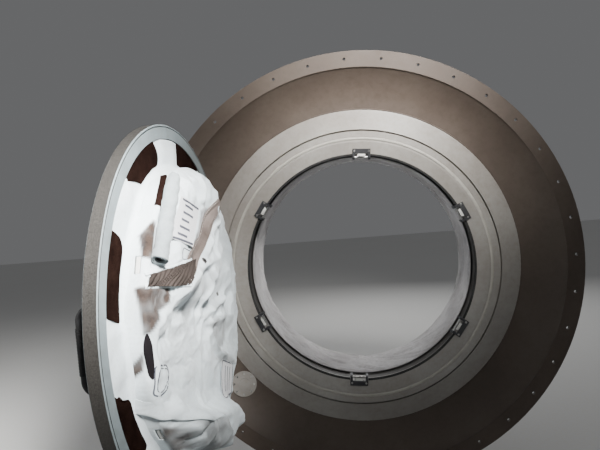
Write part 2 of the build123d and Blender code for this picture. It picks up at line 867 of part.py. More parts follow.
# Rolled edge of the upper bag, with rounded ends
roll_low_x, roll_low_z = corner(*roll_low)
roll_high_x, roll_high_z = corner(*roll_high)
roll_line = Vector(roll_high_x - roll_low_x, 0, roll_high_z - roll_low_z)
roll_start = Vector(roll_low_x, bag_y + roll_radius, roll_low_z)
with BuildPart() as bag_roll:
    with BuildSketch(Plane(origin=roll_start, z_dir=roll_line)):
        Circle(roll_radius)
    extrude(amount=roll_line.length)
    fillet(bag_roll.edges(), radius=roll_radius * 0.6)
save(hang(bag_roll.part), "bag_roll")
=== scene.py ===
"""Looks of the spacecraft pressure hatch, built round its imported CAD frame."""

from math import atan2, cos, dist, exp, hypot, pi, radians, sin, sqrt, tau

import bmesh
import bpy
import numpy as np
from mathutils import Matrix, Vector
from mathutils.bvhtree import BVHTree


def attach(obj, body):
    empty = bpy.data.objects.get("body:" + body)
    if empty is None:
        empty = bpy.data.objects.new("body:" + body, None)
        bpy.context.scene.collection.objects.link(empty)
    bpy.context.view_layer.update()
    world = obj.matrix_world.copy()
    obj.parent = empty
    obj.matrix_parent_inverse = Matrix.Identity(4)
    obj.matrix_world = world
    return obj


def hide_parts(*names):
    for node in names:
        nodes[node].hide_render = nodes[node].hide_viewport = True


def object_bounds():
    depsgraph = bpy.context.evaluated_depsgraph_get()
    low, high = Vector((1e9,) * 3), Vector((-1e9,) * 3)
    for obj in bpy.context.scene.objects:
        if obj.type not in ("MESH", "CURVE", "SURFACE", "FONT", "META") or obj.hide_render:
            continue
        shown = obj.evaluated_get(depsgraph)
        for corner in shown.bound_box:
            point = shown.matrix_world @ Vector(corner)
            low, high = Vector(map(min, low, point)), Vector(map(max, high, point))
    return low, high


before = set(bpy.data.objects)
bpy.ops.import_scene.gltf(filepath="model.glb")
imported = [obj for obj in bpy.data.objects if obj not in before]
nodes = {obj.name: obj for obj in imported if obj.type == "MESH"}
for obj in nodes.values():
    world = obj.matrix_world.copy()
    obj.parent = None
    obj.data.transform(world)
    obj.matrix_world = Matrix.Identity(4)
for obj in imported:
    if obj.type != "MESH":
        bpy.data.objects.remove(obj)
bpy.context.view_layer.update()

MM = 0.001

# The door's pieces are built closed, in millimetres with y outboard, and then hung open
HINGE = Vector((-510.0, -54.0, 0.0))
REST_OPENING = radians(92)
HANG = Matrix.Translation(HINGE) @ Matrix.Rotation(-REST_OPENING, 4, "Z") @ Matrix.Translation(-HINGE)
DOOR = Matrix.Scale(MM, 4) @ HANG
BULKHEAD = Matrix.Scale(MM, 4)
WORLD = Matrix.Identity(4)
INBOARD = Vector((0, -1, 0))

# Sizes of the frame that the soft pieces and fittings follow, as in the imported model
COVER_FLAT = 349.3
COVER_CORNER = 12.0
COVER_TOP = 62.3
COVER_LOW = 9.0
SKIRT_OUTER = 436.0
LATCH_ANGLES = [25 + 60 * i for i in range(6)]
DOG_Y = 38.5
STRIP_COUNT = 8
STRIP_FIRST = 20.0
STRIP_SPAN = 24.0
STRIP_INNER = 377.0
ROLL_LOW = (308.0, 171.0)
ROLL_HIGH = (212.0, 297.0)
BORE = 400.0
LIP_Y = 24.0
LINER_START = 100.0
LINER_END = 336.0
LINER_INNER = 394.0
RING_OUTER = 556.0
RING_EDGE_Y = 50.0
DOME_OUTER = 690.0
DOME_LOW_Y = -12.0
FLOOR_Y = 49.0
PLATE_EDGE = 335.9
GEARBOX_COVER_Y = 13.0
GEARBOX_COVER_EDGE = 88.0
LEVER_Y = -39.0
LEVER_LENGTH = 210.0
INSTRUMENT_RADIUS = 215.0
VENT_ANGLE = 55.0
GAUGE_ANGLE = 115.0
GAUGE_FACE_Y = 26.0
PORT_ANGLE = 221.0
PORT_RADIUS = 595.7
PORT_Y = 29.6
GRAB_RADIUS = 398.0
GRAB_Y = -57.0


# Materials


class Look:
    """A principled material with uniform values on its own sockets, and the nodes that vary the rest."""

    def __init__(self, name, **sockets):
        self.material = bpy.data.materials.new(name)
        self.material.use_nodes = True
        self.tree = self.material.node_tree
        self.shader = self.tree.nodes["Principled BSDF"]
        for socket, value in sockets.items():
            self.shader.inputs[socket.replace("_", " ")].default_value = value
        self.place = self.coordinates((1, 1, 1))

    def node(self, kind, output, values=None, links=None, **settings):
        """The output of a new shader node, with its input values, its linked inputs and its settings."""
        node = self.tree.nodes.new(kind)
        for key, value in settings.items():
            setattr(node, key, value)
        for key, value in (values or {}).items():
            node.inputs[key].default_value = value
        for key, source in (links or {}).items():
            self.tree.links.new(source, node.inputs[key])
        return node.outputs[output]

    def coordinates(self, scale):
        source = self.node("ShaderNodeTexCoord", "Object")
        return self.node("ShaderNodeMapping", "Vector", {"Scale": scale}, {"Vector": source})

    def noise(self, scale, detail, roughness, vector=None):
        values = {"Scale": scale, "Detail": detail, "Roughness": roughness}
        links = {"Vector": self.place if vector is None else vector}
        return self.node("ShaderNodeTexNoise", "Fac", values, links)

    def wave(self, scale, direction):
        values = {"Scale": scale, "Distortion": 0.4, "Detail": 2.0, "Detail Scale": 1.5}
        links = {"Vector": self.place}
        return self.node("ShaderNodeTexWave", "Fac", values, links, bands_direction=direction)

    def product(self, first, second):
        return self.node("ShaderNodeMath", "Value", None, {0: first, 1: second}, operation="MULTIPLY")

    def ramp(self, value, *stops):
        """A colour ramp over the value, from two (position, colour) stops."""
        colours = self.node("ShaderNodeValToRGB", "Color", None, {"Fac": value})
        for element, (position, colour) in zip(colours.node.color_ramp.elements, stops):
            element.position = position
            element.color = (*colour, 1)
        return colours

    def span(self, value, low, high, start=0.0, end=1.0):
        values = {"From Min": start, "From Max": end, "To Min": low, "To Max": high}
        return self.node("ShaderNodeMapRange", "Result", values, {"Value": value})

    def mix(self, first, second, kind="MIX", factor=None):
        """Two colour outputs, blended by a value or fully."""
        links = {6: first, 7: second}
        if factor is not None:
            links["Factor"] = factor
        return self.node("ShaderNodeMix", 2, {"Factor": 1.0}, links, data_type="RGBA", blend_type=kind)

    def across(self, axis):
        """One where the surface faces across an axis, and nothing where it faces along it."""
        normal = self.node("ShaderNodeTexCoord", "Normal")
        dot = self.node("ShaderNodeVectorMath", "Value", {1: axis}, {0: normal}, operation="DOT_PRODUCT")
        size = self.node("ShaderNodeMath", "Value", None, {0: dot}, operation="ABSOLUTE")
        return self.span(size, 1.0, 0.0, 0.25, 0.6)

    def finish(self, colour, rough, *layers):
        """Links colour, roughness and a chain of bumps from (height, distance in metres, strength) layers."""
        outputs = {"Base Color": colour, "Roughness": rough, "Normal": None}
        for height, distance, strength in layers:
            links = {"Height": height}
            if outputs["Normal"] is not None:
                links["Normal"] = outputs["Normal"]
            values = {"Distance": distance, "Strength": strength}
            outputs["Normal"] = self.node("ShaderNodeBump", "Normal", values, links)
        for socket, output in outputs.items():
            if output is not None:
                self.tree.links.new(output, self.shader.inputs[socket])
        return self.material


def painted(name, light, dark, mottle, rough, grime=0.86, side=None):
    """Sprayed paint: mottled, with orange peel and grime; side is painted shade, darker colours where the
    door rim's faces turn across the door's axis.
    """
    look = Look(name, Metallic=0.0, Specular_IOR_Level=0.45)
    cloud = look.noise(mottle, 8, 0.62)
    fine = look.noise(55, 10, 0.7)
    peel = look.noise(620, 2, 0.5)
    shade = look.ramp(cloud, (0.32, dark), (0.66, light))
    stain = look.ramp(fine, (0.36, (grime, grime * 0.99, grime * 0.96)), (0.56, (1, 1, 1)))
    colour = look.mix(shade, stain, "MULTIPLY")
    if side:
        # Painted shade: faces that turn across the door's axis take the darker side colours.
        outer = look.ramp(look.noise(380, 6, 0.7), (0.36, side[1]), (0.62, side[0]))
        colour = look.mix(colour, outer, factor=look.across(HANG.to_3x3() @ Vector((0, 1, 0))))
    rough = look.span(fine, *rough, 0.3, 0.7)
    return look.finish(colour, rough, (peel, 0.0004, 0.25), (fine, 0.0008, 0.15))


def bare_metal(name, light, dark, rough=(0.22, 0.42), brush=(1, 1, 30)):
    """Machined metal: brushed grain with rubbed, duller patches."""
    look = Look(name, Metallic=1.0)
    grain = look.noise(60, 6, 0.7, look.coordinates(brush))
    cloud = look.noise(9, 6, 0.6)
    rough = look.span(look.product(grain, cloud), *rough, 0.1, 0.45)
    return look.finish(look.ramp(cloud, (0.3, dark), (0.7, light)), rough, (grain, 0.0003, 0.2))


def rubber(name, light, dark, rough=(0.55, 0.8)):
    look = Look(name, Metallic=0.0, Specular_IOR_Level=0.35)
    dust = look.noise(400, 3, 0.6)
    colour = look.ramp(look.noise(30, 6, 0.6), (0.35, dark), (0.7, light))
    return look.finish(colour, look.span(dust, *rough), (dust, 0.0004, 0.3))


def woven(name, light, dark, pitch=0.0016, creased=0.5, sheen=0.25, shade_and_soil=None):
    """Plain-woven cloth: crossing threads, soft creases, faint soiling, and painted shade with brown soiling
    where the mesh's attribute says.
    """
    sheens = {"Sheen_Weight": sheen, "Sheen_Roughness": 0.5}
    look = Look(name, Metallic=0.0, Roughness=0.88, Specular_IOR_Level=0.2, **sheens)
    thread = 0.5 / (pitch * 10)
    weave = look.product(look.wave(thread, "Y"), look.wave(thread, "Z"))
    cloud = look.noise(7, 7, 0.6)
    crease = look.noise(26, 5, 0.55)
    base = look.ramp(cloud, (0.34, dark), (0.62, light))
    stain = look.ramp(look.noise(150, 6, 0.7), (0.3, (0.9, 0.8865, 0.864)), (0.52, (1, 1, 1)))
    colour = look.mix(base, stain, "MULTIPLY")
    # Painted shade with brown soiling, as much as the mesh's attribute gives
    if shade_and_soil:
        amount = look.node("ShaderNodeAttribute", "Fac", attribute_name="shade_and_soil")
        shade_and_soil_colour = look.ramp(look.noise(60, 6, 0.65), (0.3, shade_and_soil[0]), (0.65, shade_and_soil[1]))
        colour = look.mix(colour, shade_and_soil_colour, factor=amount)
    creases = [(crease, 0.003, 0.18 * creased), (cloud, 0.01, 0.15 * creased)]
    return look.finish(colour, None, (weave, 0.0005, 0.35), *creases)


def fuzzy(name, light, dark):
    """Hook-and-loop pile: a dense speckled nap."""
    look = Look(name, Metallic=0.0, Roughness=0.95, Specular_IOR_Level=0.0)
    nap = look.noise(420, 5, 0.75)
    colour = look.ramp(look.product(nap, look.noise(22, 5, 0.6)), (0.16, dark), (0.38, light))
    return look.finish(colour, None, (nap, 0.0015, 0.8))


PAINTED_DOME = painted("dome paint", (0.118, 0.092, 0.074), (0.083, 0.061, 0.048), 3.0, (0.5, 0.7))
PAINTED_RING = painted("ring paint", (0.40, 0.385, 0.36), (0.27, 0.245, 0.22), 2.5, (0.32, 0.5), 0.9)
PAINTED_DOOR = painted("door paint", (0.36, 0.40, 0.42), (0.25, 0.27, 0.27), 6.0, (0.35, 0.55), 0.85)
# The door rim's paint, with painted shade on its outer side
PAINTED_RIM = painted(
    "rim paint",
    (0.24, 0.29, 0.31),
    (0.17, 0.20, 0.21),
    6.0,
    (0.4, 0.6),
    0.85,
    ((0.052, 0.049, 0.045), (0.020, 0.0185, 0.0165)),
)
WHITE_ENAMEL = painted("white enamel", (0.80, 0.80, 0.78), (0.70, 0.69, 0.66), 12.0, (0.3, 0.45), 0.92)
PAINTED_TUBE = painted("tunnel paint", (0.12, 0.115, 0.11), (0.07, 0.065, 0.06), 5.0, (0.5, 0.7), 0.85)
PAINTED_BLACK = painted("black paint", (0.05, 0.05, 0.052), (0.025, 0.025, 0.027), 12.0, (0.4, 0.6), 0.8)
MACHINED = bare_metal("machined aluminium", (0.78, 0.78, 0.77), (0.62, 0.62, 0.61))
ANODISED = bare_metal("dark anodising", (0.13, 0.13, 0.135), (0.07, 0.07, 0.075), (0.35, 0.55))
STEEL = bare_metal("ground steel", (0.60, 0.59, 0.57), (0.42, 0.41, 0.40), (0.2, 0.38), (30, 1, 1))
BLACK_RUBBER = rubber("black rubber", (0.045, 0.045, 0.045), (0.02, 0.02, 0.02))
SILICONE = rubber("silicone", (0.50, 0.48, 0.43), (0.40, 0.38, 0.34), (0.4, 0.6))
WHITE_PLASTIC = rubber("white plastic", (0.80, 0.80, 0.77), (0.72, 0.71, 0.67), (0.35, 0.5))
# Dark browns for painted shade in the cloth's creases and hollows, with some brown soiling
BROWN_SHADE_AND_SOIL = ((0.016, 0.0098, 0.0075), (0.060, 0.040, 0.031))
WHITE_CLOTH = woven("white cloth", (0.80, 0.885, 0.92), (0.70, 0.775, 0.81), shade_and_soil=BROWN_SHADE_AND_SOIL)
# The roll's white cloth, made greyer as painted shade
SHADED_ROLL_CLOTH = woven("roll cloth", (0.38, 0.43, 0.45), (0.27, 0.30, 0.315))
LINER_CLOTH = woven("liner cloth", (0.74, 0.73, 0.74), (0.52, 0.50, 0.51), 0.002, 1.0, shade_and_soil=BROWN_SHADE_AND_SOIL)
# Grey-brown webbing, made darker as painted shade of the recess under the roll
WEBBING_WITH_PAINTED_SHADE = woven("grey webbing", (0.055, 0.043, 0.038), (0.015, 0.0115, 0.0095), 0.0025, 0.2, 0.0)
STRAP_CLOTH = woven("strap cloth", (0.20, 0.165, 0.150), (0.085, 0.066, 0.057), 0.0022, 0.4, 0.0)
# Near black cloth for painted shadow in holes and hollows
PAINTED_SHADOW = woven("painted shadow", (0.012, 0.009, 0.011), (0.006, 0.0045, 0.0055), 0.002, 0.5, 0.0)
LABEL_CLOTH = woven("label cloth", (0.80, 0.81, 0.83), (0.70, 0.71, 0.73), 0.0011, 0.1)
LABEL_THREAD = woven("label thread", (0.13, 0.14, 0.17), (0.07, 0.07, 0.09), 0.0012, 0.1, 0.0)
WHITE_THREAD = woven("white thread", (0.70, 0.70, 0.68), (0.58, 0.57, 0.54), 0.0008, 0.1)
BROWN_PILE = fuzzy("brown pile", (0.020, 0.0105, 0.0082), (0.0065, 0.0036, 0.003))

for material, names in (
    (PAINTED_DOME, ["mounting_flange", "end_dome", "tunnel_gussets"]),
    (PAINTED_RING, ["hatch_ring", "feedthrough_cover"]),
    (PAINTED_DOOR, ["drum_wall", "drum_plate"]),
    (PAINTED_RIM, ["door_ring"]),
    (PAINTED_TUBE, ["tunnel_tube"]),
    (PAINTED_BLACK, ["vent_bar", "pressure_gauge", "grab_handle"]),
    (WHITE_ENAMEL, [f"latch_dog_{i}" for i in range(1, 7)]),
    (MACHINED, ["tunnel_flange", "hinge_brackets", "hinge_arms", "gearbox_housing"]),
    (MACHINED, ["gearbox_cover", "rod_guides", "vent_valve"]),
    (ANODISED, ["keeper_brackets"]),
    (STEEL, ["keeper_rollers", "hinge_pins", "latch_handle"]),
    (SILICONE, ["ring_seal"]),
    (BLACK_RUBBER, ["lip_bead"]),
):
    for node_name in names:
        slots = nodes[node_name].data.materials
        slots.clear()
        slots.append(material)


# Mesh helpers


def add_mesh(name, points, faces, material, place=BULKHEAD):
    """A mesh object from points in millimetres, put in place in the row's frame."""
    mesh = bpy.data.meshes.new(name)
    mesh.from_pydata([tuple(map(float, p)) for p in points], [], [tuple(map(int, f)) for f in faces])
    mesh.transform(place)
    mesh.validate()
    mesh.shade_smooth()
    mesh.materials.append(material)
    obj = bpy.data.objects.new(name, mesh)
    bpy.context.scene.collection.objects.link(obj)
    return obj


def apply_modifiers(obj):
    """The object's mesh with its modifiers applied, so that none is left."""
    depsgraph = bpy.context.evaluated_depsgraph_get()
    mesh = bpy.data.meshes.new_from_object(obj.evaluated_get(depsgraph))
    old = obj.data
    obj.modifiers.clear()
    obj.data = mesh
    mesh.name = obj.name
    bpy.data.meshes.remove(old)


def thicken(obj, thickness, offset=-1.0, bevel=0.0):
    """Gives a surface its thickness in millimetres, with softened edges."""
    solid = obj.modifiers.new("solid", "SOLIDIFY")
    solid.thickness = thickness * MM
    solid.offset = offset
    solid.use_even_offset = True
    if bevel:
        edge = obj.modifiers.new("edge", "BEVEL")
        edge.width = bevel * MM
        edge.segments = 2
        edge.limit_method = "ANGLE"
        edge.angle_limit = radians(40)
    apply_modifiers(obj)


def grid_faces(rows, columns, closed=False):
    """Quads over rows × columns of points, joined round where closed."""
    faces = []
    for i in range(rows - 1):
        for j in range(columns if closed else columns - 1):
            k = (j + 1) % columns
            faces.append((i * columns + j, i * columns + k, (i + 1) * columns + k, (i + 1) * columns + j))
    return faces


class Parts:
    """Points and faces of many small closed forms, joined in one mesh."""

    def __init__(self):
        self.points = []
        self.faces = []

    def add(self, points, faces):
        first = len(self.points)
        self.points += list(points)
        self.faces += [tuple(first + i for i in face) for face in faces]

    def lathe(self, profile, place, segments, hexagons=()):
        """A closed form turned about local z from (radius, height) rings, of which some may be hexagons."""
        points = []
        for ring, (radius, height) in enumerate(profile):
            for k in range(segments):
                angle = tau * k / segments
                reach = radius
                if ring in hexagons:
                    share = angle % (pi / 3) - pi / 6
                    reach = radius * cos(pi / 6) / cos(share)
                spot = Vector((reach * cos(angle), reach * sin(angle), height))
                points.append(place @ spot)
        faces = grid_faces(len(profile), segments, True)
        last = (len(profile) - 1) * segments
        faces.append(tuple(range(segments))[::-1])
        faces.append(tuple(last + k for k in range(segments)))
        self.add(points, faces)

    def block(self, size, place, round_off):
        """A box with broken edges, about its own middle."""
        work = bmesh.new()
        bmesh.ops.create_cube(work, size=1.0)
        bmesh.ops.scale(work, vec=size, verts=work.verts)
        bmesh.ops.bevel(work, geom=work.edges[:], offset=round_off, segments=2, profile=0.5, affect="EDGES")
        work.verts.index_update()
        points = [place @ v.co for v in work.verts]
        faces = [tuple(v.index for v in face.verts) for face in work.faces]
        work.free()
        self.add(points, faces)

    def weld(self, radius, y, width, count, ripple):
        """A rippled weld bead round the hatch axis."""
        path = []
        for k in range(count):
            reach = radius + ripple * sin(k * 1.7)
            path.append(Vector(polar(reach, tau * k / count, y)))
        points = []
        sides = 8
        for i, middle in enumerate(path):
            ahead = (path[(i + 1) % count] - path[i - 1]).normalized()
            side = ahead.orthogonal() if i == 0 else side - ahead * side.dot(ahead)
            side.normalize()
            up = ahead.cross(side)
            for k in range(sides):
                angle = tau * k / sides
                points.append(middle + (side * cos(angle) + up * sin(angle)) * width)
        faces = grid_faces(count, sides, True)
        last = (count - 1) * sides
        faces += [(last + k, last + (k + 1) % sides, (k + 1) % sides, k) for k in range(sides)]
        self.add(points, faces)

    def mesh(self, name, material, place=BULKHEAD, smooth_angle=35):
        obj = add_mesh(name, self.points, self.faces, material, place)
        work = bmesh.new()
        work.from_mesh(obj.data)
        bmesh.ops.recalc_face_normals(work, faces=work.faces)
        limit = radians(smooth_angle)
        for edge in work.edges:
            edge.smooth = len(edge.link_faces) == 2 and edge.calc_face_angle(0) < limit
        work.to_mesh(obj.data)
        work.free()
        return obj


def seat(position, normal):
    """A local frame at a point, with its z along the normal."""
    turn = Vector(normal).to_track_quat("Z", "Y").to_matrix().to_4x4()
    return Matrix.Translation(position) @ turn


def polar(radius, angle, y):
    return radius * np.cos(angle), y, radius * np.sin(angle)


def polar_place(radius, degrees, y, inward=0.0):
    """A frame on a circle about the hatch axis, facing the crew and leaning inward by that slope."""
    angle = radians(degrees)
    out = Vector((cos(angle), 0, sin(angle)))
    return seat(out * radius + Vector((0, y, 0)), (INBOARD - out * inward).normalized())


# Cap screw, as (radius, height) rings: the socket's floor, its hexagon, then the head
CAP_SCREW = [(0.05, 0.4), (0.44, 0.4), (0.46, 0.95), (0.86, 1.0), (1.0, 0.82), (1.0, -0.15)]
CAP_SCREW_HEXAGONS = (1, 2)


def add_screws(parts, places, radius, height):
    profile = [(r * radius, h * height) for r, h in CAP_SCREW]
    for place in places:
        parts.lathe(profile, place, 24, CAP_SCREW_HEXAGONS)


def smooth_step(t):
    t = np.clip(t, 0, 1)
    return t * t * (3 - 2 * t)


def field(x, z, seed, size):
    """Smooth seeded waves over a plane, from -1 to 1, about size millimetres long."""
    random = np.random.default_rng(seed)
    total = np.zeros_like(x, float)
    for _ in range(9):
        angle, phase = random.uniform(0, tau, 2)
        length = size * random.uniform(0.7, 1.6)
        total += np.sin((x * cos(angle) + z * sin(angle)) * tau / length + phase)
    return total / 4.5


def crumple(x, z, seed, size):
    """Sharp ridges with soft hollows between them, from 0 to 1, as creased cloth has."""
    warp_x = x + size * 0.35 * field(x, z, seed + 50, size * 2)
    warp_z = z + size * 0.35 * field(x, z, seed + 60, size * 2)
    return (1 - np.abs(np.clip(field(warp_x, warp_z, seed, size), -1, 1))) ** 1.6


def segment_distance(x, z, a, b):
    """Distance to the segment from a to b, and the share along it."""
    dx, dz = b[0] - a[0], b[1] - a[1]
    share = np.clip(((x - a[0]) * dx + (z - a[1]) * dz) / (dx * dx + dz * dz), 0, 1)
    return np.hypot(x - a[0] - share * dx, z - a[1] - share * dz), share


def line_distance(x, z, line):
    """Distance to a line through several points, and the share along it."""
    lengths = [dist(a, b) for a, b in zip(line, line[1:])]
    best, share, gone = np.full(x.shape, np.inf), np.zeros(x.shape), 0.0
    for a, b, length in zip(line, line[1:], lengths):
        distance, part = segment_distance(x, z, a, b)
        nearer = distance < best
        best = np.where(nearer, distance, best)
        share = np.where(nearer, (gone + part * length) / sum(lengths), share)
        gone += length
    return best, share


def inside(x, z, corners):
    """Where points lie inside a polygon."""
    result = np.zeros(x.shape, bool)
    for (x0, z0), (x1, z1) in zip(corners, corners[1:] + corners[:1]):
        crosses = (z0 > z) != (z1 > z)
        with np.errstate(divide="ignore", invalid="ignore"):
            at = (x1 - x0) * (z - z0) / (z1 - z0) + x0
        result ^= crosses & (x < at)
    return result


def outline_distance(x, z, corners):
    sides = zip(corners, corners[1:] + corners[:1])
    return np.min([segment_distance(x, z, a, b)[0] for a, b in sides], axis=0)


def region(x, z, corners, blur):
    """One inside a polygon and nothing outside, blurred over that many millimetres at its edge."""
    distance = outline_distance(x, z, corners)
    return smooth_step(0.5 + np.where(inside(x, z, corners), distance, -distance) / blur)


# Cloth over the drum. Points (x, z) are on the cover as if its edge were rolled out flat.

UPPER_FOOT = [
    (235, 50), (290, 140), (198, 272), (100, 340), (-60, 350), (-165, 293), (-180, 190), (-170, 75), (40, 15)
]
UPPER_CROWN = [
    (195, 75), (235, 130), (165, 245), (85, 315), (-25, 338), (-95, 290), (-100, 195), (-90, 100), (50, 55)
]
LOWER_FOOT = [
    (270, -120), (200, -205), (60, -235), (-90, -250), (-165, -308),
    (-60, -350), (80, -345), (215, -280), (322, -148),
]
LOWER_CROWN = [
    (210, -170), (175, -215), (70, -250), (-20, -262), (-40, -305),
    (0, -325), (75, -322), (160, -285), (240, -200),
]
UPPER_HEIGHT = 25.0
LOWER_HEIGHT = 62.0
RIDGE_SCALE = 1.2
VALLEY_SCALE = 0.75

# Folds over the top: the line that each crease follows, its height and its half width
FOLDS = [
    ([(150, 352), (215, 285), (280, 192)], 12, 17),
    ([(120, 345), (180, 262), (238, 188)], -8, 13),
    ([(-60, 252), (-20, 228), (73, 172), (150, 140)], -12, 24),
    ([(-120, 232), (-30, 178), (52, 132)], 10, 24),
    ([(113, 352), (95, 262)], 11, 19),
    ([(62, 354), (66, 285)], -9, 15),
    ([(18, 358), (36, 262)], 12, 20),
    ([(-40, 340), (-20, 250)], -8, 20),
    ([(-90, 305), (-80, 200)], 9, 24),
    ([(-160, 150), (-40, 118), (110, 112)], 9, 22),
    ([(100, 112), (191, 96), (236, 62), (299, 37), (351, 19)], 15, 34),
    ([(-40, 118), (50, 92), (130, 55), (154, -7)], -7, 24),
    ([(140, 0), (200, -16), (262, -11), (347, 4)], -6, 17),
    ([(-60, 96), (11, 74), (46, 26), (70, -28)], 11, 22),
    ([(-147, 13), (-70, 27), (-9, 26), (94, 0)], -4, 13),
    ([(-203, -1), (-110, -14), (-22, -15), (56, -32)], 11, 22),
    ([(14, -40), (-100, -54), (-205, -55)], 10, 17),
    ([(-20, -62), (-120, -90), (-215, -95)], -9, 20),
    ([(-5, -43), (-45, -95), (-89, -133), (-199, -208)], 11, 18),
    ([(-230, 90), (-262, 0), (-250, -130)], 9, 30),
    ([(120, -30), (70, -110), (60, -190)], 3, 24),
    ([(330, -20), (300, -90), (300, -140)], 4, 30),
    ([(273, -196), (222, -250), (172, -300)], 13, 18),
    ([(240, -212), (190, -275), (130, -330)], -14, 18),
    ([(150, -232), (95, -300), (60, -345)], 11, 24),
    ([(70, -240), (30, -345)], -13, 18),
    ([(-40, -255), (-60, -348)], 10, 24),
    ([(300, -178), (290, -215), (262, -262)], -10, 14),
    ([(330, -178), (320, -210)], 9, 16),
]

# Folds down the cover's side: angle at the corner and at the foot, depth, half width as an angle
SIDE_FOLDS = [
    (-6, -10, -8.0, 3.0),
    (-12, -22, 5.0, 5.0),
    (20, 9, 3.5, 6.0),
    (52, 47, -3.0, 4.0),
    (-60, -52, -4.0, 4.0),
    (150, 160, -4.0, 5.0),
    (205, 196, -4.0, 5.0),
    (250, 262, 4.0, 6.0),
]

# Places where painted shade, with some brown soiling, darkens the cloth, as corners on the cover, with the
# edge's blur and the strength
SHADE_AND_SOIL_PLACES = [
    ([(313, 223), (266, 240), (309, 158), (330, 172)], 8, 1.0),
    ([(352, 112), (249, 91), (272, 64), (320, 51), (336, 36), (354, 20), (367, 18), (364, 112)], 9, 0.9),
    ([(50, 250), (119, 172), (212, 140), (165, 128), (97, 144), (8, 182), (-98, 228), (-60, 252)], 12, 0.55),
    ([(60, 90), (135, 62), (172, -4), (140, -12), (96, 20), (-40, 100)], 16, 0.22),
    ([(150, -4), (262, -14), (262, -26), (140, -24)], 12, 0.2),
    ([(4, -41), (-197, -55), (-251, -72), (-228, -94), (-186, -127), (-78, -135), (-16, -61)], 14, 0.3),
    ([(318, -186), (268, -205), (215, -272), (262, -268), (300, -230)], 12, 0.6),
    ([(262, -190), (120, -235), (40, -262), (130, -320), (215, -262)], 20, 0.35),
    ([(-60, -150), (-190, -215), (-240, -205), (-120, -140)], 16, 0.3),
    ([(371, -18), (394, -46), (403, -58), (401, -84), (384, -67), (374, -58)], 7, 0.9),
]

# The lens-shaped opening on the cover's rounded edge: its middle and half sizes
LENS_MIDDLE = (360.0, -28.0)
LENS_HALF_WIDTH = 13.0
LENS_HALF_HEIGHT = 49.0
LENS_DEPTH = 3.2
LENS_LIP_OFFSET = 17.0
LENS_LIP_HEIGHT = 7.5

# The part of the cover that lies smooth
SMOOTH_PART = [(340, -10), (170, -30), (60, -60), (60, -200), (200, -190), (330, -130)]

SEAM_FLAP = [(384, -158), (352, -160), (314, -168), (250, -196), (185, -224), (120, -242)]
SEAM_FLAP_WIDTH = 34.0
PLEATED_BAND = [(338, 134), (160, 142), (212, 90), (346, 110)]
LABELS = [
    [(160, 287), (74, 256), (144, 168), (250, 199)],
    [(-119, -167), (-222, -210), (-178, -284), (-42, -253)],
]
SMALL_BOX = [(196, 172), (140, 158), (166, 140), (220, 150)]
ROUND_MARK = [(345, -48), (281, -66), (273, -79), (287, -94), (312, -112), (334, -115), (350, -107)]
EYELETS = [(71, 129), (-145, 13)]
STRAP = [(-92, 258), (-57, 243), (-19, 214), (41, 183), (104, 152), (160, 134), (214, 116)]
STRAP_HALF_WIDTH = 20.0


def shrunk(corners, inset):
    """A polygon drawn in towards its middle by an inset."""
    middle = np.mean(corners, axis=0)
    arms = np.array(corners, float) - middle
    return [tuple(middle + arm * (1 - inset / np.hypot(*arm))) for arm in arms]


def pad_height(x, z, foot, crown, height):
    """Height of a padded form that rises from one outline to another."""
    to_foot = outline_distance(x, z, foot)
    to_crown = np.where(inside(x, z, crown), 0, outline_distance(x, z, crown))
    rise = np.where(inside(x, z, foot), to_foot / np.maximum(to_foot + to_crown, 1e-6), 0)
    return height * np.sin(np.clip(rise, 0, 1) * pi / 2)


def soften(values, times):
    """A grid of values, each averaged with its neighbours."""
    for _ in range(times):
        edge = np.pad(values, 1, mode="edge")
        values = (edge[:-2, 1:-1] + edge[2:, 1:-1] + edge[1:-1, :-2] + edge[1:-1, 2:] + 4 * values) / 8
    return values


def cover_height(x, z):
    """How far the cloth's top stands above the drum at each point."""
    height = pad_height(x, z, UPPER_FOOT, UPPER_CROWN, UPPER_HEIGHT)
    height = np.maximum(height, pad_height(x, z, LOWER_FOOT, LOWER_CROWN, LOWER_HEIGHT))
    height = soften(height, 12)
    under_labels = np.maximum(*[region(x, z, shrunk(corners, -10), 24) for corners in LABELS])
    for line, rise, width in FOLDS:
        distance, share = line_distance(x, z, line)
        crest = (1 - np.clip(distance / width, 0, 1)) ** 1.15
        ends = smooth_step(np.minimum(share, 1 - share) * 6 + 0.15)
        size = rise * (RIDGE_SCALE if rise > 0 else VALLEY_SCALE)
        height = height + size * crest * ends * (1 - 0.7 * under_labels)
    calm = np.maximum(0.8 * region(x, z, SMOOTH_PART, 60), 0.85 * under_labels)
    height = height + (1 - calm) * (8.0 * crumple(x, z, 3, 150) + 2.4 * crumple(x, z, 21, 62) - 4.0)
    return height + 0.7 * crumple(x, z, 8, 30)


def square_to_disc(count):
    """Points of a square grid laid over the unit disc."""
    steps = np.linspace(-1, 1, count + 1)
    a, b = np.meshgrid(steps, steps, indexing="ij")
    wide = np.abs(a) > np.abs(b)
    radius = np.where(wide, a, b)
    safe_a, safe_b = np.where(a == 0, 1, a), np.where(b == 0, 1, b)
    angle = np.where(wide, pi / 4 * b / safe_a, pi / 2 - pi / 4 * a / safe_b)
    x, z = radius * np.cos(angle), radius * np.sin(angle)
    middle = (a == 0) & (b == 0)
    return np.where(middle, 0, x), np.where(middle, 0, z)


CORNER_LENGTH = COVER_CORNER * pi / 2
SIDE_LENGTH = COVER_TOP - COVER_CORNER - COVER_LOW


def rolled(along):
    """The smooth cover at a distance from its middle along its surface: radius, y, and the normal's lean."""
    bend = np.clip((along - COVER_FLAT) / COVER_CORNER, 0, pi / 2)
    down = np.clip(along - COVER_FLAT - CORNER_LENGTH, 0, SIDE_LENGTH)
    radius = np.minimum(along, COVER_FLAT) + COVER_CORNER * np.sin(bend)
    y = COVER_TOP - COVER_CORNER + COVER_CORNER * np.cos(bend) - down
    return radius, y, bend


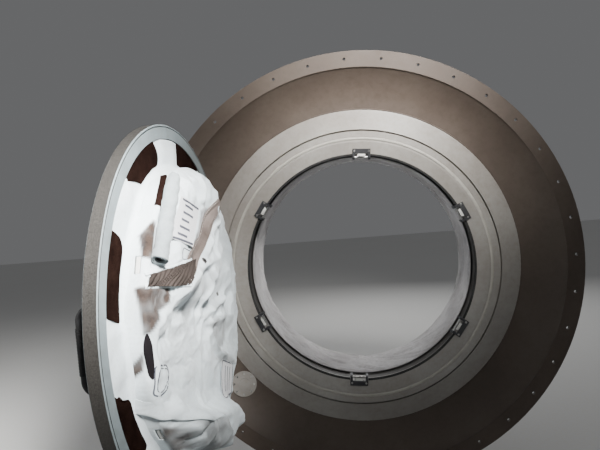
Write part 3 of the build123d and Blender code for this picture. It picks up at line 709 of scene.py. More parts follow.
def cover_surface(count):
    """The cover's outer surface: its top, its rounded corner and its side."""
    u, v = square_to_disc(count)
    rho, angle = np.hypot(u, v), np.arctan2(v, u)
    along = rho * (COVER_FLAT + CORNER_LENGTH + SIDE_LENGTH)
    radius, y, _ = rolled(along)
    flat_x, flat_z = along * np.cos(angle), along * np.sin(angle)
    x, z = radius * np.cos(angle), radius * np.sin(angle)
    share = smooth_step((COVER_FLAT + CORNER_LENGTH * 0.9 - along) / 34)
    y = y + share * np.maximum(cover_height(x, z), -2)

    down = np.clip(along - COVER_FLAT - CORNER_LENGTH * 0.5, 0, SIDE_LENGTH)
    side = smooth_step(down / 10) * smooth_step((SIDE_LENGTH + CORNER_LENGTH * 0.5 - down) / 6)
    puff = 1.5 + 1.4 * field(x, z, 5, 120)
    degrees = np.degrees(angle)
    for top, foot, depth, width in SIDE_FOLDS:
        at = top + (foot - top) * down / SIDE_LENGTH
        away = (degrees - at + 180) % 360 - 180
        puff = puff + depth * np.exp(-((away / width) ** 2))
    reach = side * np.maximum(puff, -2.5)

    lens_x, lens_z = along - LENS_MIDDLE[0], flat_z - LENS_MIDDLE[1]
    lens = (lens_x / LENS_HALF_WIDTH) ** 2 + (lens_z / LENS_HALF_HEIGHT) ** 2
    in_lens = smooth_step((1.25 - lens) / 0.5) * (flat_x > 0)
    lip = np.exp(-(((lens_x + LENS_LIP_OFFSET) / 6.5) ** 2))
    lip = lip * smooth_step((LENS_HALF_HEIGHT + 14 - np.abs(lens_z)) / 20)
    reach = reach - LENS_DEPTH * in_lens
    y = y - LENS_DEPTH * 0.6 * in_lens + LENS_LIP_HEIGHT * lip * (flat_x > 0)
    x, z = x + reach * np.cos(angle), z + reach * np.sin(angle)
    points = np.stack([x, y, z], axis=-1).reshape(-1, 3)
    return points, along.reshape(-1), flat_x.reshape(-1), flat_z.reshape(-1)


# The cover's simulation; the limit is how far a point may move, in millimetres
SWELL_FRAMES = 24
SWELL_LIMIT = 6.0
SWELL_SETTINGS = {
    "quality": 6,
    "mass": 0.3,
    "tension_stiffness": 14.0,
    "compression_stiffness": 14.0,
    "shear_stiffness": 5.6,
    "bending_stiffness": 0.05,
    "air_damping": 2.0,
    "shrink_min": -0.03,
    "use_pressure": True,
    "uniform_pressure_force": 0.3,
    "vertex_group_mass": "held",
}


def vertex_places(obj):
    return np.array([v.co for v in obj.data.vertices], float)


def swell(obj, pinned):
    """Lets cloth grow and puff in place, then keeps each point within a limit of where it started."""
    start = vertex_places(obj)
    group = obj.vertex_groups.new(name="held")
    group.add([int(i) for i in pinned], 1.0, "REPLACE")
    cloth = obj.modifiers.new("cloth", "CLOTH")
    for key, value in SWELL_SETTINGS.items():
        setattr(cloth.settings, key, value)
    cloth.settings.effector_weights.gravity = 0.0
    cloth.collision_settings.use_collision = False
    cloth.point_cache.frame_start = 1
    cloth.point_cache.frame_end = SWELL_FRAMES
    scene = bpy.context.scene
    for step in range(1, SWELL_FRAMES + 1):
        scene.frame_set(step)
    apply_modifiers(obj)
    scene.frame_set(1)
    move = vertex_places(obj) - start
    size = np.linalg.norm(move, axis=1, keepdims=True)
    cap = SWELL_LIMIT * MM
    kept = start + move * (cap * np.tanh(size / cap) / np.maximum(size, 1e-9))
    obj.data.vertices.foreach_set("co", kept.astype(np.float32).reshape(-1))
    obj.data.update()
    obj.vertex_groups.clear()


def set_shade_and_soil(obj, values):
    """Writes how much painted shade, with brown soiling, lies at each point, for the cloth's material."""
    attribute = obj.data.attributes.new("shade_and_soil", "FLOAT", "POINT")
    attribute.data.foreach_set("value", np.asarray(values, np.float32))


SLOT_WIDTH = 36.9
SLOT_HEIGHT = 12.9


def over_slot(local, face, high, wide):
    """Whether a face's middle lies within that many half heights and half widths of a slot's."""
    middle = local @ face.calc_center_median()
    return abs(middle.y - DOG_Y) < high * SLOT_HEIGHT / 2 and abs(middle.z) < wide * SLOT_WIDTH / 2


def cut_slots(obj):
    """Opens a slot for each latch dog in the cover's side."""
    work = bmesh.new()
    work.from_mesh(obj.data)
    back = DOOR.inverted()
    high, wide = SLOT_HEIGHT / 2, SLOT_WIDTH / 2
    cuts = [((0, 1, 0), DOG_Y - high), ((0, 1, 0), DOG_Y + high), ((0, 0, 1), -wide), ((0, 0, 1), wide)]
    for angle in LATCH_ANGLES:
        local = Matrix.Rotation(radians(angle), 4, "Y") @ back
        outward = local.inverted()
        near = [
            face
            for face in work.faces
            if (local @ face.calc_center_median()).x > COVER_FLAT - 20 and over_slot(local, face, 3, 2)
        ]
        for direction, limit in cuts:
            normal = Vector(direction)
            geometry = set(near)
            for face in near:
                geometry.update(face.edges)
                geometry.update(face.verts)
            result = bmesh.ops.bisect_plane(
                work,
                geom=list(geometry),
                plane_co=outward @ (normal * limit + Vector((COVER_FLAT, 0, 0))),
                plane_no=(outward.to_3x3() @ normal).normalized(),
            )
            near = [item for item in result["geom"] if isinstance(item, bmesh.types.BMFace)]
        gone = [face for face in near if over_slot(local, face, 1, 1)]
        bmesh.ops.delete(work, geom=gone, context="FACES")
    work.to_mesh(obj.data)
    work.free()


COVER_GRID = 168
COVER_THICKNESS = 1.6
SHADE_AND_SOIL_POWER = 2.2


TUCK_REACH = 34.0
TUCK_FLAT = 10.0
TUCK_SLOPE = 1.3


def tuck_under_roll(cover):
    """Keeps the cover's cloth below the roll that lies on it."""
    back = DOOR.inverted()
    low, high = Vector(ROLL_LOW), Vector(ROLL_HIGH)
    ahead = (high - low).normalized()
    for vertex in cover.data.vertices:
        spot = back @ vertex.co
        offset = Vector((spot.x, spot.z)) - low
        share = offset.dot(ahead)
        if not -30 < share < (high - low).length + 70:
            continue
        away = abs(offset.x * ahead.y - offset.y * ahead.x)
        top = COVER_TOP - 0.5 + max(0.0, away - TUCK_FLAT) * TUCK_SLOPE
        if away < TUCK_REACH and spot.y > top:
            spot.y = top
            vertex.co = DOOR @ spot


def make_cover():
    """The door's white cover with its two stowage bags, creased, and darkened in places by painted shade with
    brown soiling.
    """
    points, along, flat_x, flat_z = cover_surface(COVER_GRID)
    faces = grid_faces(COVER_GRID + 1, COVER_GRID + 1)
    cover = add_mesh("cover_cloth", points, faces, WHITE_CLOTH, DOOR)
    beside_lens = np.abs(flat_z - LENS_MIDDLE[1]) < LENS_HALF_HEIGHT + 12
    near_lens = (along > LENS_MIDDLE[0] - 34) & beside_lens & (flat_x > 0)
    swell(cover, np.nonzero((along > COVER_FLAT + 6) | near_lens)[0])
    tuck_under_roll(cover)
    # Painted shade with some brown soiling, over the listed places
    shade_and_soil = np.zeros_like(flat_x)
    patchy = 0.9 + 0.3 * field(flat_x, flat_z, 31, 34)
    for corners, blur, strength in SHADE_AND_SOIL_PLACES:
        shade_and_soil = np.maximum(shade_and_soil, strength * region(flat_x, flat_z, corners, blur) * patchy)
    set_shade_and_soil(cover, 1 - (1 - np.clip(shade_and_soil, 0, 1)) ** SHADE_AND_SOIL_POWER)
    cut_slots(cover)
    thicken(cover, COVER_THICKNESS)
    return cover


class Surface:
    """Finds points on finished pieces, from outside them."""

    def __init__(self, *pieces):
        depsgraph = bpy.context.evaluated_depsgraph_get()
        self.trees = [BVHTree.FromObject(piece, depsgraph) for piece in pieces]

    def at(self, x, z, lift):
        """The point over rolled-out (x, z), lifted off the cloth, with the surface's normal."""
        along, angle = hypot(x, z), atan2(z, x)
        radius, y, bend = rolled(np.float64(along))
        lean = Vector((sin(bend) * cos(angle), cos(bend), sin(bend) * sin(angle)))
        start = DOOR @ (Vector(polar(radius, angle, y)) + lean * 110)
        direction = (DOOR.to_3x3() @ -lean).normalized()
        hits = [tree.ray_cast(start, direction) for tree in self.trees]
        hits = [hit for hit in hits if hit[0] is not None]
        if not hits:
            raise RuntimeError(f"no cloth under {x:.0f}, {z:.0f}")
        place, normal, _, _ = min(hits, key=lambda hit: hit[3])
        if normal.dot(direction) > 0:
            normal = -normal
        return place + normal * lift * MM, normal


def line_points(corners, step, closed=False):
    """Points every step or so along a line through the corners, with its direction at each."""
    result = []
    ends = corners[1:] + (corners[:1] if closed else [])
    for a, b in zip(corners, ends):
        a, b = Vector(a), Vector(b)
        count = max(1, round((b - a).length / step))
        for k in range(count):
            result.append((a + (b - a) * k / count, (b - a).normalized()))
    if not closed:
        result.append((Vector(corners[-1]), result[-1][1]))
    return result


def eased(points, closed, times):
    """Points along a line, each drawn towards its neighbours' middle."""
    for _ in range(times):
        count = len(points)
        ends = range(count) if closed else range(1, count - 1)
        moved = list(points)
        for i in ends:
            moved[i] = (points[i - 1] + points[i] * 2 + points[(i + 1) % count]) / 4
        points = moved
    return points


def draped_band(surface, parts, corners, offsets, closed, step, thickness, ease=2):
    """A closed strip of cloth along a line, from (offset across, lift) columns."""
    line = line_points(corners, step, closed)
    columns = []
    for offset, lift in offsets:
        spots = [place + Vector((-ahead.y, ahead.x)) * offset for place, ahead in line]
        columns.append(eased([surface.at(spot.x, spot.y, lift)[0] for spot in spots], closed, ease))
    normals = [surface.at(place.x, place.y, 0)[1] for place, _ in line]
    tops = [column[i] for i in range(len(line)) for column in columns]
    lows = [column[i] - normals[i] * thickness * MM for i in range(len(line)) for column in columns]
    add_sheet(parts, tops, lows, len(line), len(offsets), closed)


def add_sheet(parts, tops, lows, rows, columns, closed=False):
    """A closed thin solid between two grids of points."""
    count = rows * columns
    grid = np.arange(count).reshape(rows, columns)
    faces = []
    for i in range(rows if closed else rows - 1):
        row, after = grid[i], grid[(i + 1) % rows]
        for j in range(columns - 1):
            quad = (row[j], row[j + 1], after[j + 1], after[j])
            faces += [quad, tuple(count + c for c in quad[::-1])]
    if closed:
        rims = [grid[:, 0], grid[:, -1]]
    else:
        rims = [np.concatenate([grid[0], grid[1:, -1], grid[-1, -2::-1], grid[-2:0:-1, 0]])]
    for rim in rims:
        faces += [(a, b, count + b, count + a) for a, b in zip(rim, np.roll(rim, -1))]
    parts.add(list(tops) + list(lows), faces)


def draped_piece(name, material, surface, corners, offsets, step=4, ease=2):
    """One strip of cloth along a line, as a piece of its own."""
    parts = Parts()
    draped_band(surface, parts, corners, offsets, False, step, 1.6, ease)
    return parts.mesh(name, material, WORLD)


# How far a stiff patch may lift off the cloth that it is sewn to
PATCH_RISE = 4.0


def draped_patch(surface, parts, corners, rows, columns, lift, thickness=0.8, wave=None):
    """A thin four-cornered patch, stretched over the cloth's crests, with its own waves."""
    a, b, c, d = (Vector(p) for p in corners)
    raw = np.zeros((rows, columns, 3))
    normal = Vector((0, 0, 0))
    for i in range(rows):
        v = i / (rows - 1)
        for j in range(columns):
            u = j / (columns - 1)
            spot = (a * (1 - u) + b * u) * (1 - v) + (d * (1 - u) + c * u) * v
            top, up = surface.at(spot.x, spot.y, lift)
            raw[i, j] = top
            normal += up
    up = np.array(normal.normalized())
    level = raw @ up
    v, u = np.meshgrid(np.linspace(0, 1, rows), np.linspace(0, 1, columns), indexing="ij")
    basis = np.stack([np.ones_like(u), u, v, u * v], axis=-1).reshape(-1, 4)
    plane = (basis @ np.linalg.lstsq(basis, level.reshape(-1), rcond=None)[0]).reshape(rows, columns)
    stiff = plane * 0.7 + soften(level, 6) * 0.3
    stiff = stiff + min(PATCH_RISE * MM, (level - stiff).max())
    raise_by = soften(np.maximum(level, stiff), 2) - level
    raise_by = np.maximum(raise_by, 0)
    if wave:
        raise_by = raise_by + wave(u, v) * MM
    tops = raw + raise_by[..., None] * up
    lows = tops - up * thickness * MM
    add_sheet(parts, list(tops.reshape(-1, 3)), list(lows.reshape(-1, 3)), rows, columns)


STITCH_PITCH = 7.0
STITCH_LENGTH = 4.2
STITCH_LIFT = 0.5


def add_stitches(surface, parts, corners):
    """A row of thread stitches along a line on the cloth."""
    for place, ahead in line_points(corners, STITCH_PITCH):
        half = ahead * STITCH_LENGTH / 2
        start, stop = (surface.at(spot.x, spot.y, STITCH_LIFT)[0] for spot in (place - half, place + half))
        middle, normal = surface.at(place.x, place.y, STITCH_LIFT)
        side = (stop - start).cross(normal).normalized() * 0.55 * MM
        rise = normal * 0.5 * MM
        ring = [middle + side, middle + rise, middle - side, middle - rise]
        faces = [(0, 1 + k, 1 + (k + 1) % 4) for k in range(4)]
        faces += [(5, 1 + (k + 1) % 4, 1 + k) for k in range(4)]
        parts.add([start, *ring, stop], faces)


def between(a, b, share):
    return tuple(Vector(a).lerp(Vector(b), share))


def make_labels(surface, cover):
    """Blank label patches with printed outlines and plain bars, and the plain mark beside the opening."""
    panels, lines, bars = Parts(), Parts(), Parts()
    for corners in LABELS:
        draped_patch(surface, panels, corners, 26, 24, 1.0)
    panel = panels.mesh("label_panels", LABEL_CLOTH, WORLD)
    surface = Surface(cover, panel)

    def print_line(parts, corners, half, lift=0.7, closed=False, step=4, ease=2):
        draped_band(surface, parts, corners, [(-half, lift), (half, lift)], closed, step, 0.9, ease)

    top_left, top_right, low_right, low_left = shrunk(LABELS[0], 7)
    for start, stop in ((top_left, top_right), (low_left, low_right)):
        print_line(lines, [start, stop], 2.4, 0.9)
    print_line(lines, shrunk(LABELS[1], 3), 1.5, closed=True)
    print_line(lines, SMALL_BOX, 0.9, closed=True)
    print_line(lines, ROUND_MARK, 1.5, closed=True, step=3, ease=6)
    print_line(lines, shrunk(ROUND_MARK, 9), 0.9, closed=True, step=3, ease=6)
    a, b, c, d = LABELS[0]
    for k, length in enumerate((0.42, 0.5, 0.36, 0.46, 0.4)):
        share = 0.16 + 0.17 * k
        left, right = between(a, d, share), between(b, c, share)
        print_line(bars, [between(left, right, 0.22), between(left, right, 0.22 + length)], 2.6, 0.8)
    a, b, c, d = LABELS[1]
    for k in range(3):
        share = 0.3 + 0.2 * k
        top, low = between(a, b, share), between(d, c, share)
        print_line(bars, [between(top, low, 0.14), between(top, low, 0.84)], 1.5)
    return [
        (panel, "white_cloth"),
        (lines.mesh("label_outlines", LABEL_THREAD, WORLD), "dark_paint"),
        (bars.mesh("label_bars", LABEL_THREAD, WORLD), "dark_paint"),
    ]


def make_pleated_band(surface):
    """The gathered webbing under the upper bag, its own grey-brown darkened by painted shade of the recess
    under the roll.
    """
    parts = Parts()

    def wave(u, v):
        fold = np.abs(np.sin(pi * 12 * (u + 0.16 * v + 0.03 * np.sin(5 * v + 9 * u)))) ** 0.8
        return 6.5 * fold * (0.5 + 0.5 * np.sin(pi * v))

    draped_patch(surface, parts, PLEATED_BAND, 12, 150, 1.4, 1.2, wave)
    edges = Parts()
    hem = [(-4, 1.0), (-2, 3.4), (2, 3.4), (4, 1.0)]
    a, b, c, d = PLEATED_BAND
    for line in ([a, b], [d, c]):
        draped_band(surface, edges, line, hem, False, 5, 1.2)
    return [
        (parts.mesh("pleated_band", WEBBING_WITH_PAINTED_SHADE, WORLD), "brown_patch"),
        (edges.mesh("pleated_band_edges", WHITE_CLOTH, WORLD), "white_cloth"),
    ]


def make_strap(cover):
    """The tan strap that crosses the upper bag, with its stitching."""
    half = STRAP_HALF_WIDTH
    columns = [(-half, 1.5), (-half + 1.5, 4.0), (-9, 4.2), (-7, 3.2), (-5, 4.2), (0, 4.0)]
    columns += [(-offset, lift) for offset, lift in columns[-2::-1]]
    strap = draped_piece("bag_strap", STRAP_CLOTH, Surface(cover), STRAP, columns, 5, 40)
    surface = Surface(cover, strap)
    threads = Parts()
    for side in (-1, 1):
        line = []
        for before, here, after in zip(STRAP[:1] + STRAP, STRAP, STRAP[1:] + STRAP[-1:]):
            ahead = (Vector(after) - Vector(before)).normalized()
            line.append(Vector(here) + Vector((-ahead.y, ahead.x)) * side * (half - 4))
        add_stitches(surface, threads, line)
    return strap, threads.mesh("strap_stitches", WHITE_THREAD, WORLD)


def make_seam_flap(surface):
    """The hemmed edge of the cover's lower flap, standing off the bag below it."""
    columns = [(SEAM_FLAP_WIDTH, 0.5), (24, 1.4), (14, 3.2), (7, 5.0), (3, 5.8), (0.8, 5.6), (0, 4.4)]
    path = eased([place for place, _ in line_points(SEAM_FLAP, 9)], False, 1)
    return draped_piece("seam_flap", WHITE_CLOTH, surface, path[::-1], columns)


def make_eyelets(surface):
    rings, hole_shadows = Parts(), Parts()
    for x, z in EYELETS:
        spot, normal = surface.at(x, z, 0.2)
        place = seat(spot / MM, normal)
        rings.lathe([(4.4, 0.4), (5.0, 2.0), (6.4, 2.2), (7.6, 1.2), (8.0, -0.8), (4.4, -0.8)], place, 28)
        # Dark discs inside the eyelets: painted shadow
        hole_shadows.lathe([(0.1, 0.9), (4.7, 0.8), (4.7, -0.6), (0.1, -0.6)], place, 28)
    return [
        (rings.mesh("eyelets", STEEL), "steel"),
        (hole_shadows.mesh("eyelet_hole_shadows", PAINTED_SHADOW), "dark_paint"),
    ]


def make_lens_shadow(surface):
    """A dark sheet in the opening at the cover's edge, as painted shadow of its inside."""
    parts = Parts()
    rows, columns = 21, 7
    tops, lows = [], []
    for i in range(rows):
        v = 2 * i / (rows - 1) - 1
        half = LENS_HALF_WIDTH * sqrt(max(0.02, 1 - v * v)) * 0.92
        for j in range(columns):
            along = LENS_MIDDLE[0] + half * (2 * j / (columns - 1) - 1)
            z = LENS_MIDDLE[1] + v * LENS_HALF_HEIGHT * 0.97
            top, normal = surface.at(sqrt(along**2 - z**2), z, 0.5)
            tops.append(top)
            lows.append(top - normal * 0.6 * MM)
    add_sheet(parts, tops, lows, rows, columns)
    return parts.mesh("opening_shadow", PAINTED_SHADOW, WORLD)


SKIRT_ROWS = (
    361.6, 362.6, 364.5, 368, 373, 379, 386, 393, 400, 407, 414, 420, 425, 428, 430, 432, 434, 435.6, 436
)


def make_skirt():
    """The cover's flange over the web: flat under the strips, puffed between them, with a hem."""
    columns = 720
    angle = np.linspace(0, tau, columns, endpoint=False)
    pitch = 360 / STRIP_COUNT
    away = np.abs((np.degrees(angle) - STRIP_FIRST + pitch / 2) % pitch - pitch / 2)
    free = smooth_step((away - STRIP_SPAN / 2 - 0.4) / 4.5)
    points = []
    for radius in SKIRT_ROWS:
        x, z = radius * np.cos(angle), radius * np.sin(angle)
        cove = 13 * max(0, 1 - (radius - 361.6) / 14) ** 2
        swell_share = sin(pi * min(1, (radius - 361) / 75)) ** 0.8
        folds = 3.4 + 2.2 * field(x, z, 11, 70) + 1.6 * crumple(x, z, 14, 46)
        y = COVER_LOW + 0.5 + cove + free * swell_share * folds + 0.25 * field(x, z, 12, 60) * (1 - free)
        y = y + 1.1 * free * smooth_step((radius - 426) / 4)
        if radius == SKIRT_OUTER:
            y = np.full(columns, COVER_LOW - 0.4)
        points.append(np.stack([x, np.maximum(y, COVER_LOW - 0.4), z], axis=-1))
    faces = grid_faces(len(SKIRT_ROWS), columns, True)
    skirt = add_mesh("cover_skirt_cloth", np.concatenate(points), faces, WHITE_CLOTH, DOOR)
    thicken(skirt, 1.3)
    return skirt


STRIP_MIDDLE = 408.0
STRIP_ROUND = 26.0
STRIP_SMALL_ROUND = 4.0
STRIP_Y = 10.9

# How many degrees further round a strip's inner corner is than its outer one, at its upper and lower end
STRIP_SLANTS = {0: (0.4, -1.8), 1: (2, 9), 7: (-4, 0)}


def corner_cut(radius, distance):
    """How far a rounded corner cuts in at a distance from the end."""
    return radius - sqrt(max(0, radius**2 - max(0, radius - distance) ** 2))


def make_strip(number):
    """A fastening strip, rounded most at the inner corner of its upper end."""
    middle = STRIP_FIRST + 360 / STRIP_COUNT * number
    length = radians(STRIP_SPAN) * STRIP_MIDDLE
    start = [0, 0.6, 1.5, 2.5, 4, 6, 8, 11, 14, 18, 23, 30]
    stop = [length - 4, length - 2.6, length - 1.4, length - 0.6, length]
    steps = np.concatenate([start, np.linspace(38, length - 8, 24), stop])
    points = []
    for d in steps:
        start_cut, end_cut = corner_cut(STRIP_SMALL_ROUND, d), corner_cut(STRIP_SMALL_ROUND, length - d)
        low = STRIP_INNER + max(corner_cut(STRIP_ROUND, d), end_cut)
        high = SKIRT_OUTER - max(start_cut, end_cut)
        upper, lower = STRIP_SLANTS.get(number, (0, 0))
        slant = radians(upper * (1 - d / length) + lower * d / length)
        wobble = 0.5 * sin(d / 9.0 + number)
        for k in range(9):
            angle = radians(middle + STRIP_SPAN / 2) - d / STRIP_MIDDLE + slant * (0.5 - k / 8)
            radius = low + (high - low) * k / 8 + wobble * (1 - k / 8)
            crown = 0.9 * sin(pi * k / 8)
            points.append(polar(radius, angle, STRIP_Y + crown + 0.4 * sin(d / 21 + 2 * number)))
    faces = [f[::-1] for f in grid_faces(len(steps), 9)]
    strip = add_mesh(f"fastening_strip_{number + 1}", points, faces, BROWN_PILE, DOOR)
    thicken(strip, 2.0, 1.0, 0.5)
    return strip


ROLL_RADIUS = 18.0
ROLL_Y = 81.5
ROLL_OVERRUN = 50.0
# A dark strip along the roll's foot, as painted shadow
ROLL_SHADOW_STRIP = [(138, 354), (181, 319), (212, 295), (238, 271)]
ROLL_SHADOW_STRIP_HALF_WIDTH = 8.0
ROLL_TURNS = 2.2
ROLL_ROWS = 84
ROLL_COLUMNS = 88


def roll_axis():
    low, high = (Vector((x, ROLL_Y, z)) for x, z in (ROLL_LOW, ROLL_HIGH))
    axis = (high - low).normalized()
    return low - axis * 16, high + axis * ROLL_OVERRUN, axis


def make_roll():
    """The rolled flap: a spiral of cloth with an open lower end."""
    low, high, axis = roll_axis()
    out = Vector((0, 1, 0))
    side = axis.cross(out).normalized()
    rows, columns = ROLL_ROWS, ROLL_COLUMNS
    points = []
    for i in range(rows):
        share = i / (rows - 1)
        taper = 1 - 0.55 * max(0, (share - 0.86) / 0.14) ** 2.4
        middle = low + (high - low) * share
        for j in range(columns):
            turn = j / (columns - 1)
            angle = turn * tau * ROLL_TURNS - 1.2
            radius = (ROLL_RADIUS - 8.0 * turn) * taper
            dent = 1.3 * sin(share * 17 + 2 * angle) + 0.9 * sin(share * 43 + angle * 3)
            dent += 0.5 * sin(share * 90 - angle * 2 + 3 * sin(share * 12))
            dent -= 2.0 * exp(-(((share - 0.40) / 0.03) ** 2))
            dent -= 1.5 * exp(-(((share - 0.72) / 0.05) ** 2))
            radius += dent * (1 - turn)
            ends = 1.8 * sin(2 * angle) * (1 if share in (0, 1) else 0.5)
            points.append(middle + (side * cos(angle) + out * sin(angle)) * radius + axis * ends)
    roll = add_mesh("bag_roll_cloth", points, grid_faces(rows, columns), SHADED_ROLL_CLOTH, DOOR)
    thicken(roll, 1.5, 0.0)
    return roll


def make_roll_core():
    """A dark plug inside the roll's open end, as painted shadow in its hollow core."""
    low, _, axis = roll_axis()
    parts = Parts()
    profile = [(0.1, 5.0), (5.0, 4.6), (7.4, 3.0), (7.6, 30.0), (0.1, 31.0)]
    parts.lathe(profile, seat(low, axis), 24)
    return parts.mesh("roll_core_shadow", PAINTED_SHADOW, DOOR)


def make_roll_shadow_strip(surface):
    """A dark brown pile strip beside the roll on the cover's edge, as painted shadow between the roll and the
    cover.
    """
    half = ROLL_SHADOW_STRIP_HALF_WIDTH
    columns = [(-half, 0.8), (-half + 1, 2.4), (0, 2.8), (half - 1, 2.4), (half, 0.8)]
    return draped_piece("roll_shadow_strip", BROWN_PILE, surface, ROLL_SHADOW_STRIP, columns)


LINER_COLUMNS = 720
LINER_ROWS = 64
LINER_WAVE_RADIUS = 260.0


def make_liner():
    """The tunnel's crumpled cloth liner, with a hem at its inner edge and painted shade in its hollows."""
    columns, rows = LINER_COLUMNS, LINER_ROWS
    angle = np.linspace(0, tau, columns, endpoint=False)
    points, hollow_shade = [], []
    for i in range(rows):
        share = i / (rows - 1)
        y = LINER_START + (LINER_END - LINER_START) * share
        u, v = np.cos(angle) * LINER_WAVE_RADIUS, np.sin(angle) * LINER_WAVE_RADIUS
        broad = field(u + y * 0.9, v - y * 0.7, 41, 130)
        folds = crumple(u + y * 0.8, v + y * 0.5, 44, 62)
        fine = crumple(u * 1.2 - y * 0.6, v * 1.2 + y, 47, 30)
        free = sin(pi * min(1, max(0, share * 1.02 - 0.01))) ** 0.35
        inward = free * (3.2 + 2.4 * broad + 6.5 * folds + 2.2 * fine)
        radius = LINER_INNER + 2.4 - inward
        if share < 0.05:
            radius = LINER_INNER + 0.6 + 1.2 * np.sin(angle * LINER_INNER / 11) * share
        x, z = radius * np.cos(angle), radius * np.sin(angle)
        points.append(np.stack([x, np.full(columns, y), z], axis=-1))
        # Painted shade: darker where the folds lie back against the tunnel wall
        hollow_shade.append(np.clip(0.55 - 0.11 * inward, 0, 0.5))
    faces = grid_faces(rows, columns, True)
    liner = add_mesh("tunnel_liner_cloth", np.concatenate(points), faces, LINER_CLOTH)
    set_shade_and_soil(liner, np.concatenate(hollow_shade))
    thicken(liner, 1.8, 1.0)
    return liner


# Small fittings


def make_weld(name, material, place, *beads):
    """Weld beads round edges, each from its radius, y, width, point count and ripple."""
    parts = Parts()
    for bead in beads:
        parts.weld(*bead)
    return parts.mesh(name, material, place, 80)


def make_bulkhead_screws():
    parts = Parts()
    angles = [angle + side for angle in LATCH_ANGLES for side in (-3.5, 3.5)]
    add_screws(parts, [polar_place(BORE + 8, angle, LIP_Y - 7.4, 0.1) for angle in angles], 3.6, 1.4)
    port = seat(Vector((PORT_RADIUS, PORT_Y, 0)), Vector((-0.294, -0.956, 0)))
    port = Matrix.Rotation(-radians(PORT_ANGLE), 4, "Y") @ port
    arm = Matrix.Translation((36, 0, 0))
    add_screws(parts, [port @ Matrix.Rotation(radians(45 * k), 4, "Z") @ arm for k in range(8)], 4.0, 3.0)
    return parts.mesh("bulkhead_screws", STEEL)


def make_keeper_pads():
    """White wear pads in the keepers, behind the rollers."""
    parts = Parts()
    for angle in LATCH_ANGLES:
        turn = Matrix.Rotation(-radians(angle), 4, "Y")
        parts.block((3.0, 16.0, 32.0), turn @ Matrix.Translation((BORE - 2.4, DOG_Y - 1.0, 0)), 1.0)
        parts.block((9.0, 2.6, 26.0), turn @ Matrix.Translation((BORE - 6.0, LIP_Y - 6.6, 0)), 1.0)
    return parts.mesh("keeper_pads", WHITE_PLASTIC)


def make_door_screws():
    """Screws on the door, as rings of them about a middle, each with its first angle in degrees."""
    parts = Parts()
    middle = Vector((0, 0, 0))
    vent = Vector(polar(INSTRUMENT_RADIUS, radians(VENT_ANGLE), 0))
    gauge = Vector(polar(INSTRUMENT_RADIUS, radians(GAUGE_ANGLE), 0))
    for centre, reach, y, count, first, radius, height in (
        (middle, GEARBOX_COVER_EDGE - 9, GEARBOX_COVER_Y, 12, 0, 4.5, 4.0),
        (middle, PLATE_EDGE - 12, FLOOR_Y, 24, 7.5, 3.4, 2.4),
        (middle, 0, LEVER_Y, 1, 0, 9.0, 6.0),
        (vent, 27, 13, 6, 15, 3.0, 2.2),
        (gauge, 35.5, 21, 4, 45, 1.9, 1.3),
    ):
        ring = [polar_place(reach, 360 / count * k + first, y) for k in range(count)]
        add_screws(parts, [Matrix.Translation(centre) @ place for place in ring], radius, height)
    return parts.mesh("door_screws", STEEL, DOOR)


def make_gauge_dial():
    """The gauge's white dial with plain ticks, its needle and the needle's hub."""
    dial, ticks = Parts(), Parts()
    angle = radians(GAUGE_ANGLE)
    face = seat(Vector(polar(INSTRUMENT_RADIUS, angle, GAUGE_FACE_Y)), INBOARD)
    dial.lathe([(0.1, 0.6), (30.5, 0.6), (31.5, 0.2), (31.5, -0.2), (0.1, -0.2)], face, 48)
    for k in range(31):
        turn = Matrix.Rotation(radians(225 - 9 * k), 4, "Z")
        long = k % 5 == 0
        size = (6.0, 1.2, 0.4) if long else (3.4, 0.7, 0.4)
        ticks.block(size, face @ turn @ Matrix.Translation((27 - size[0] / 2, 0, 0.7)), 0.1)
    needle = face @ Matrix.Rotation(radians(140), 4, "Z")
    ticks.block((25, 1.4, 0.8), needle @ Matrix.Translation((8.5, 0, 1.6)), 0.2)
    ticks.lathe([(0.1, 2.6), (2.6, 2.4), (3.2, 1.6), (3.2, 0.5), (0.1, 0.5)], face, 20)
    return [
        (dial.mesh("gauge_dial", WHITE_PLASTIC, DOOR), "white_cloth"),
        (ticks.mesh("gauge_ticks", PAINTED_BLACK, DOOR), "dark_paint"),
    ]


def ribbed(first, ribs, crest, groove, land, last):
    """The outline of a ribbed sleeve, as (radius, height) rings."""
    profile = [first]
    for k in range(ribs):
        rib = [(crest, 1.0), (crest, land), (groove, land + 0.6), (groove, 6.4)]
        profile += [(radius, height + 6 * k) for radius, height in rib]
    return profile + last


def make_grips():
    """Rubber sleeves on the grab handle and on the latch handle's knob."""
    grab, knob = Parts(), Parts()
    sleeve = ribbed((9.2, 0.0), 15, 10.8, 9.9, 4.6, [(10.8, 92.0), (9.2, 93.0)])
    grab.lathe(sleeve, seat(Vector((GRAB_RADIUS, GRAB_Y, -46.5)), Vector((0, 0, 1))), 28)
    sleeve = ribbed((12.2, 0.0), 7, 13.9, 13.1, 4.4, [(14.0, 44.0), (13.0, 46.0)])
    knob.lathe(sleeve, seat(Vector((0, LEVER_Y - 4.5, -LEVER_LENGTH)), INBOARD), 28)
    return grab.mesh("grab_grip", BLACK_RUBBER, DOOR), knob.mesh("knob_grip", BLACK_RUBBER, DOOR)


def place_piece(piece, body, slot, *replaced):
    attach(piece, body)
    if replaced:
        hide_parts(*replaced)


cover = make_cover()
place_piece(cover, "door", "white_cloth", "drum_cover", "upper_bag", "lower_bag")

skirt = make_skirt()
place_piece(skirt, "door", "white_cloth", "cover_skirt")

roll = make_roll()
roll_core_shadow = make_roll_core()
place_piece(roll, "door", "white_cloth", "bag_roll")
place_piece(roll_core_shadow, "door", "dark_paint")

surface = Surface(cover)
roll_shadow_strip = make_roll_shadow_strip(surface)
place_piece(roll_shadow_strip, "door", "brown_patch")

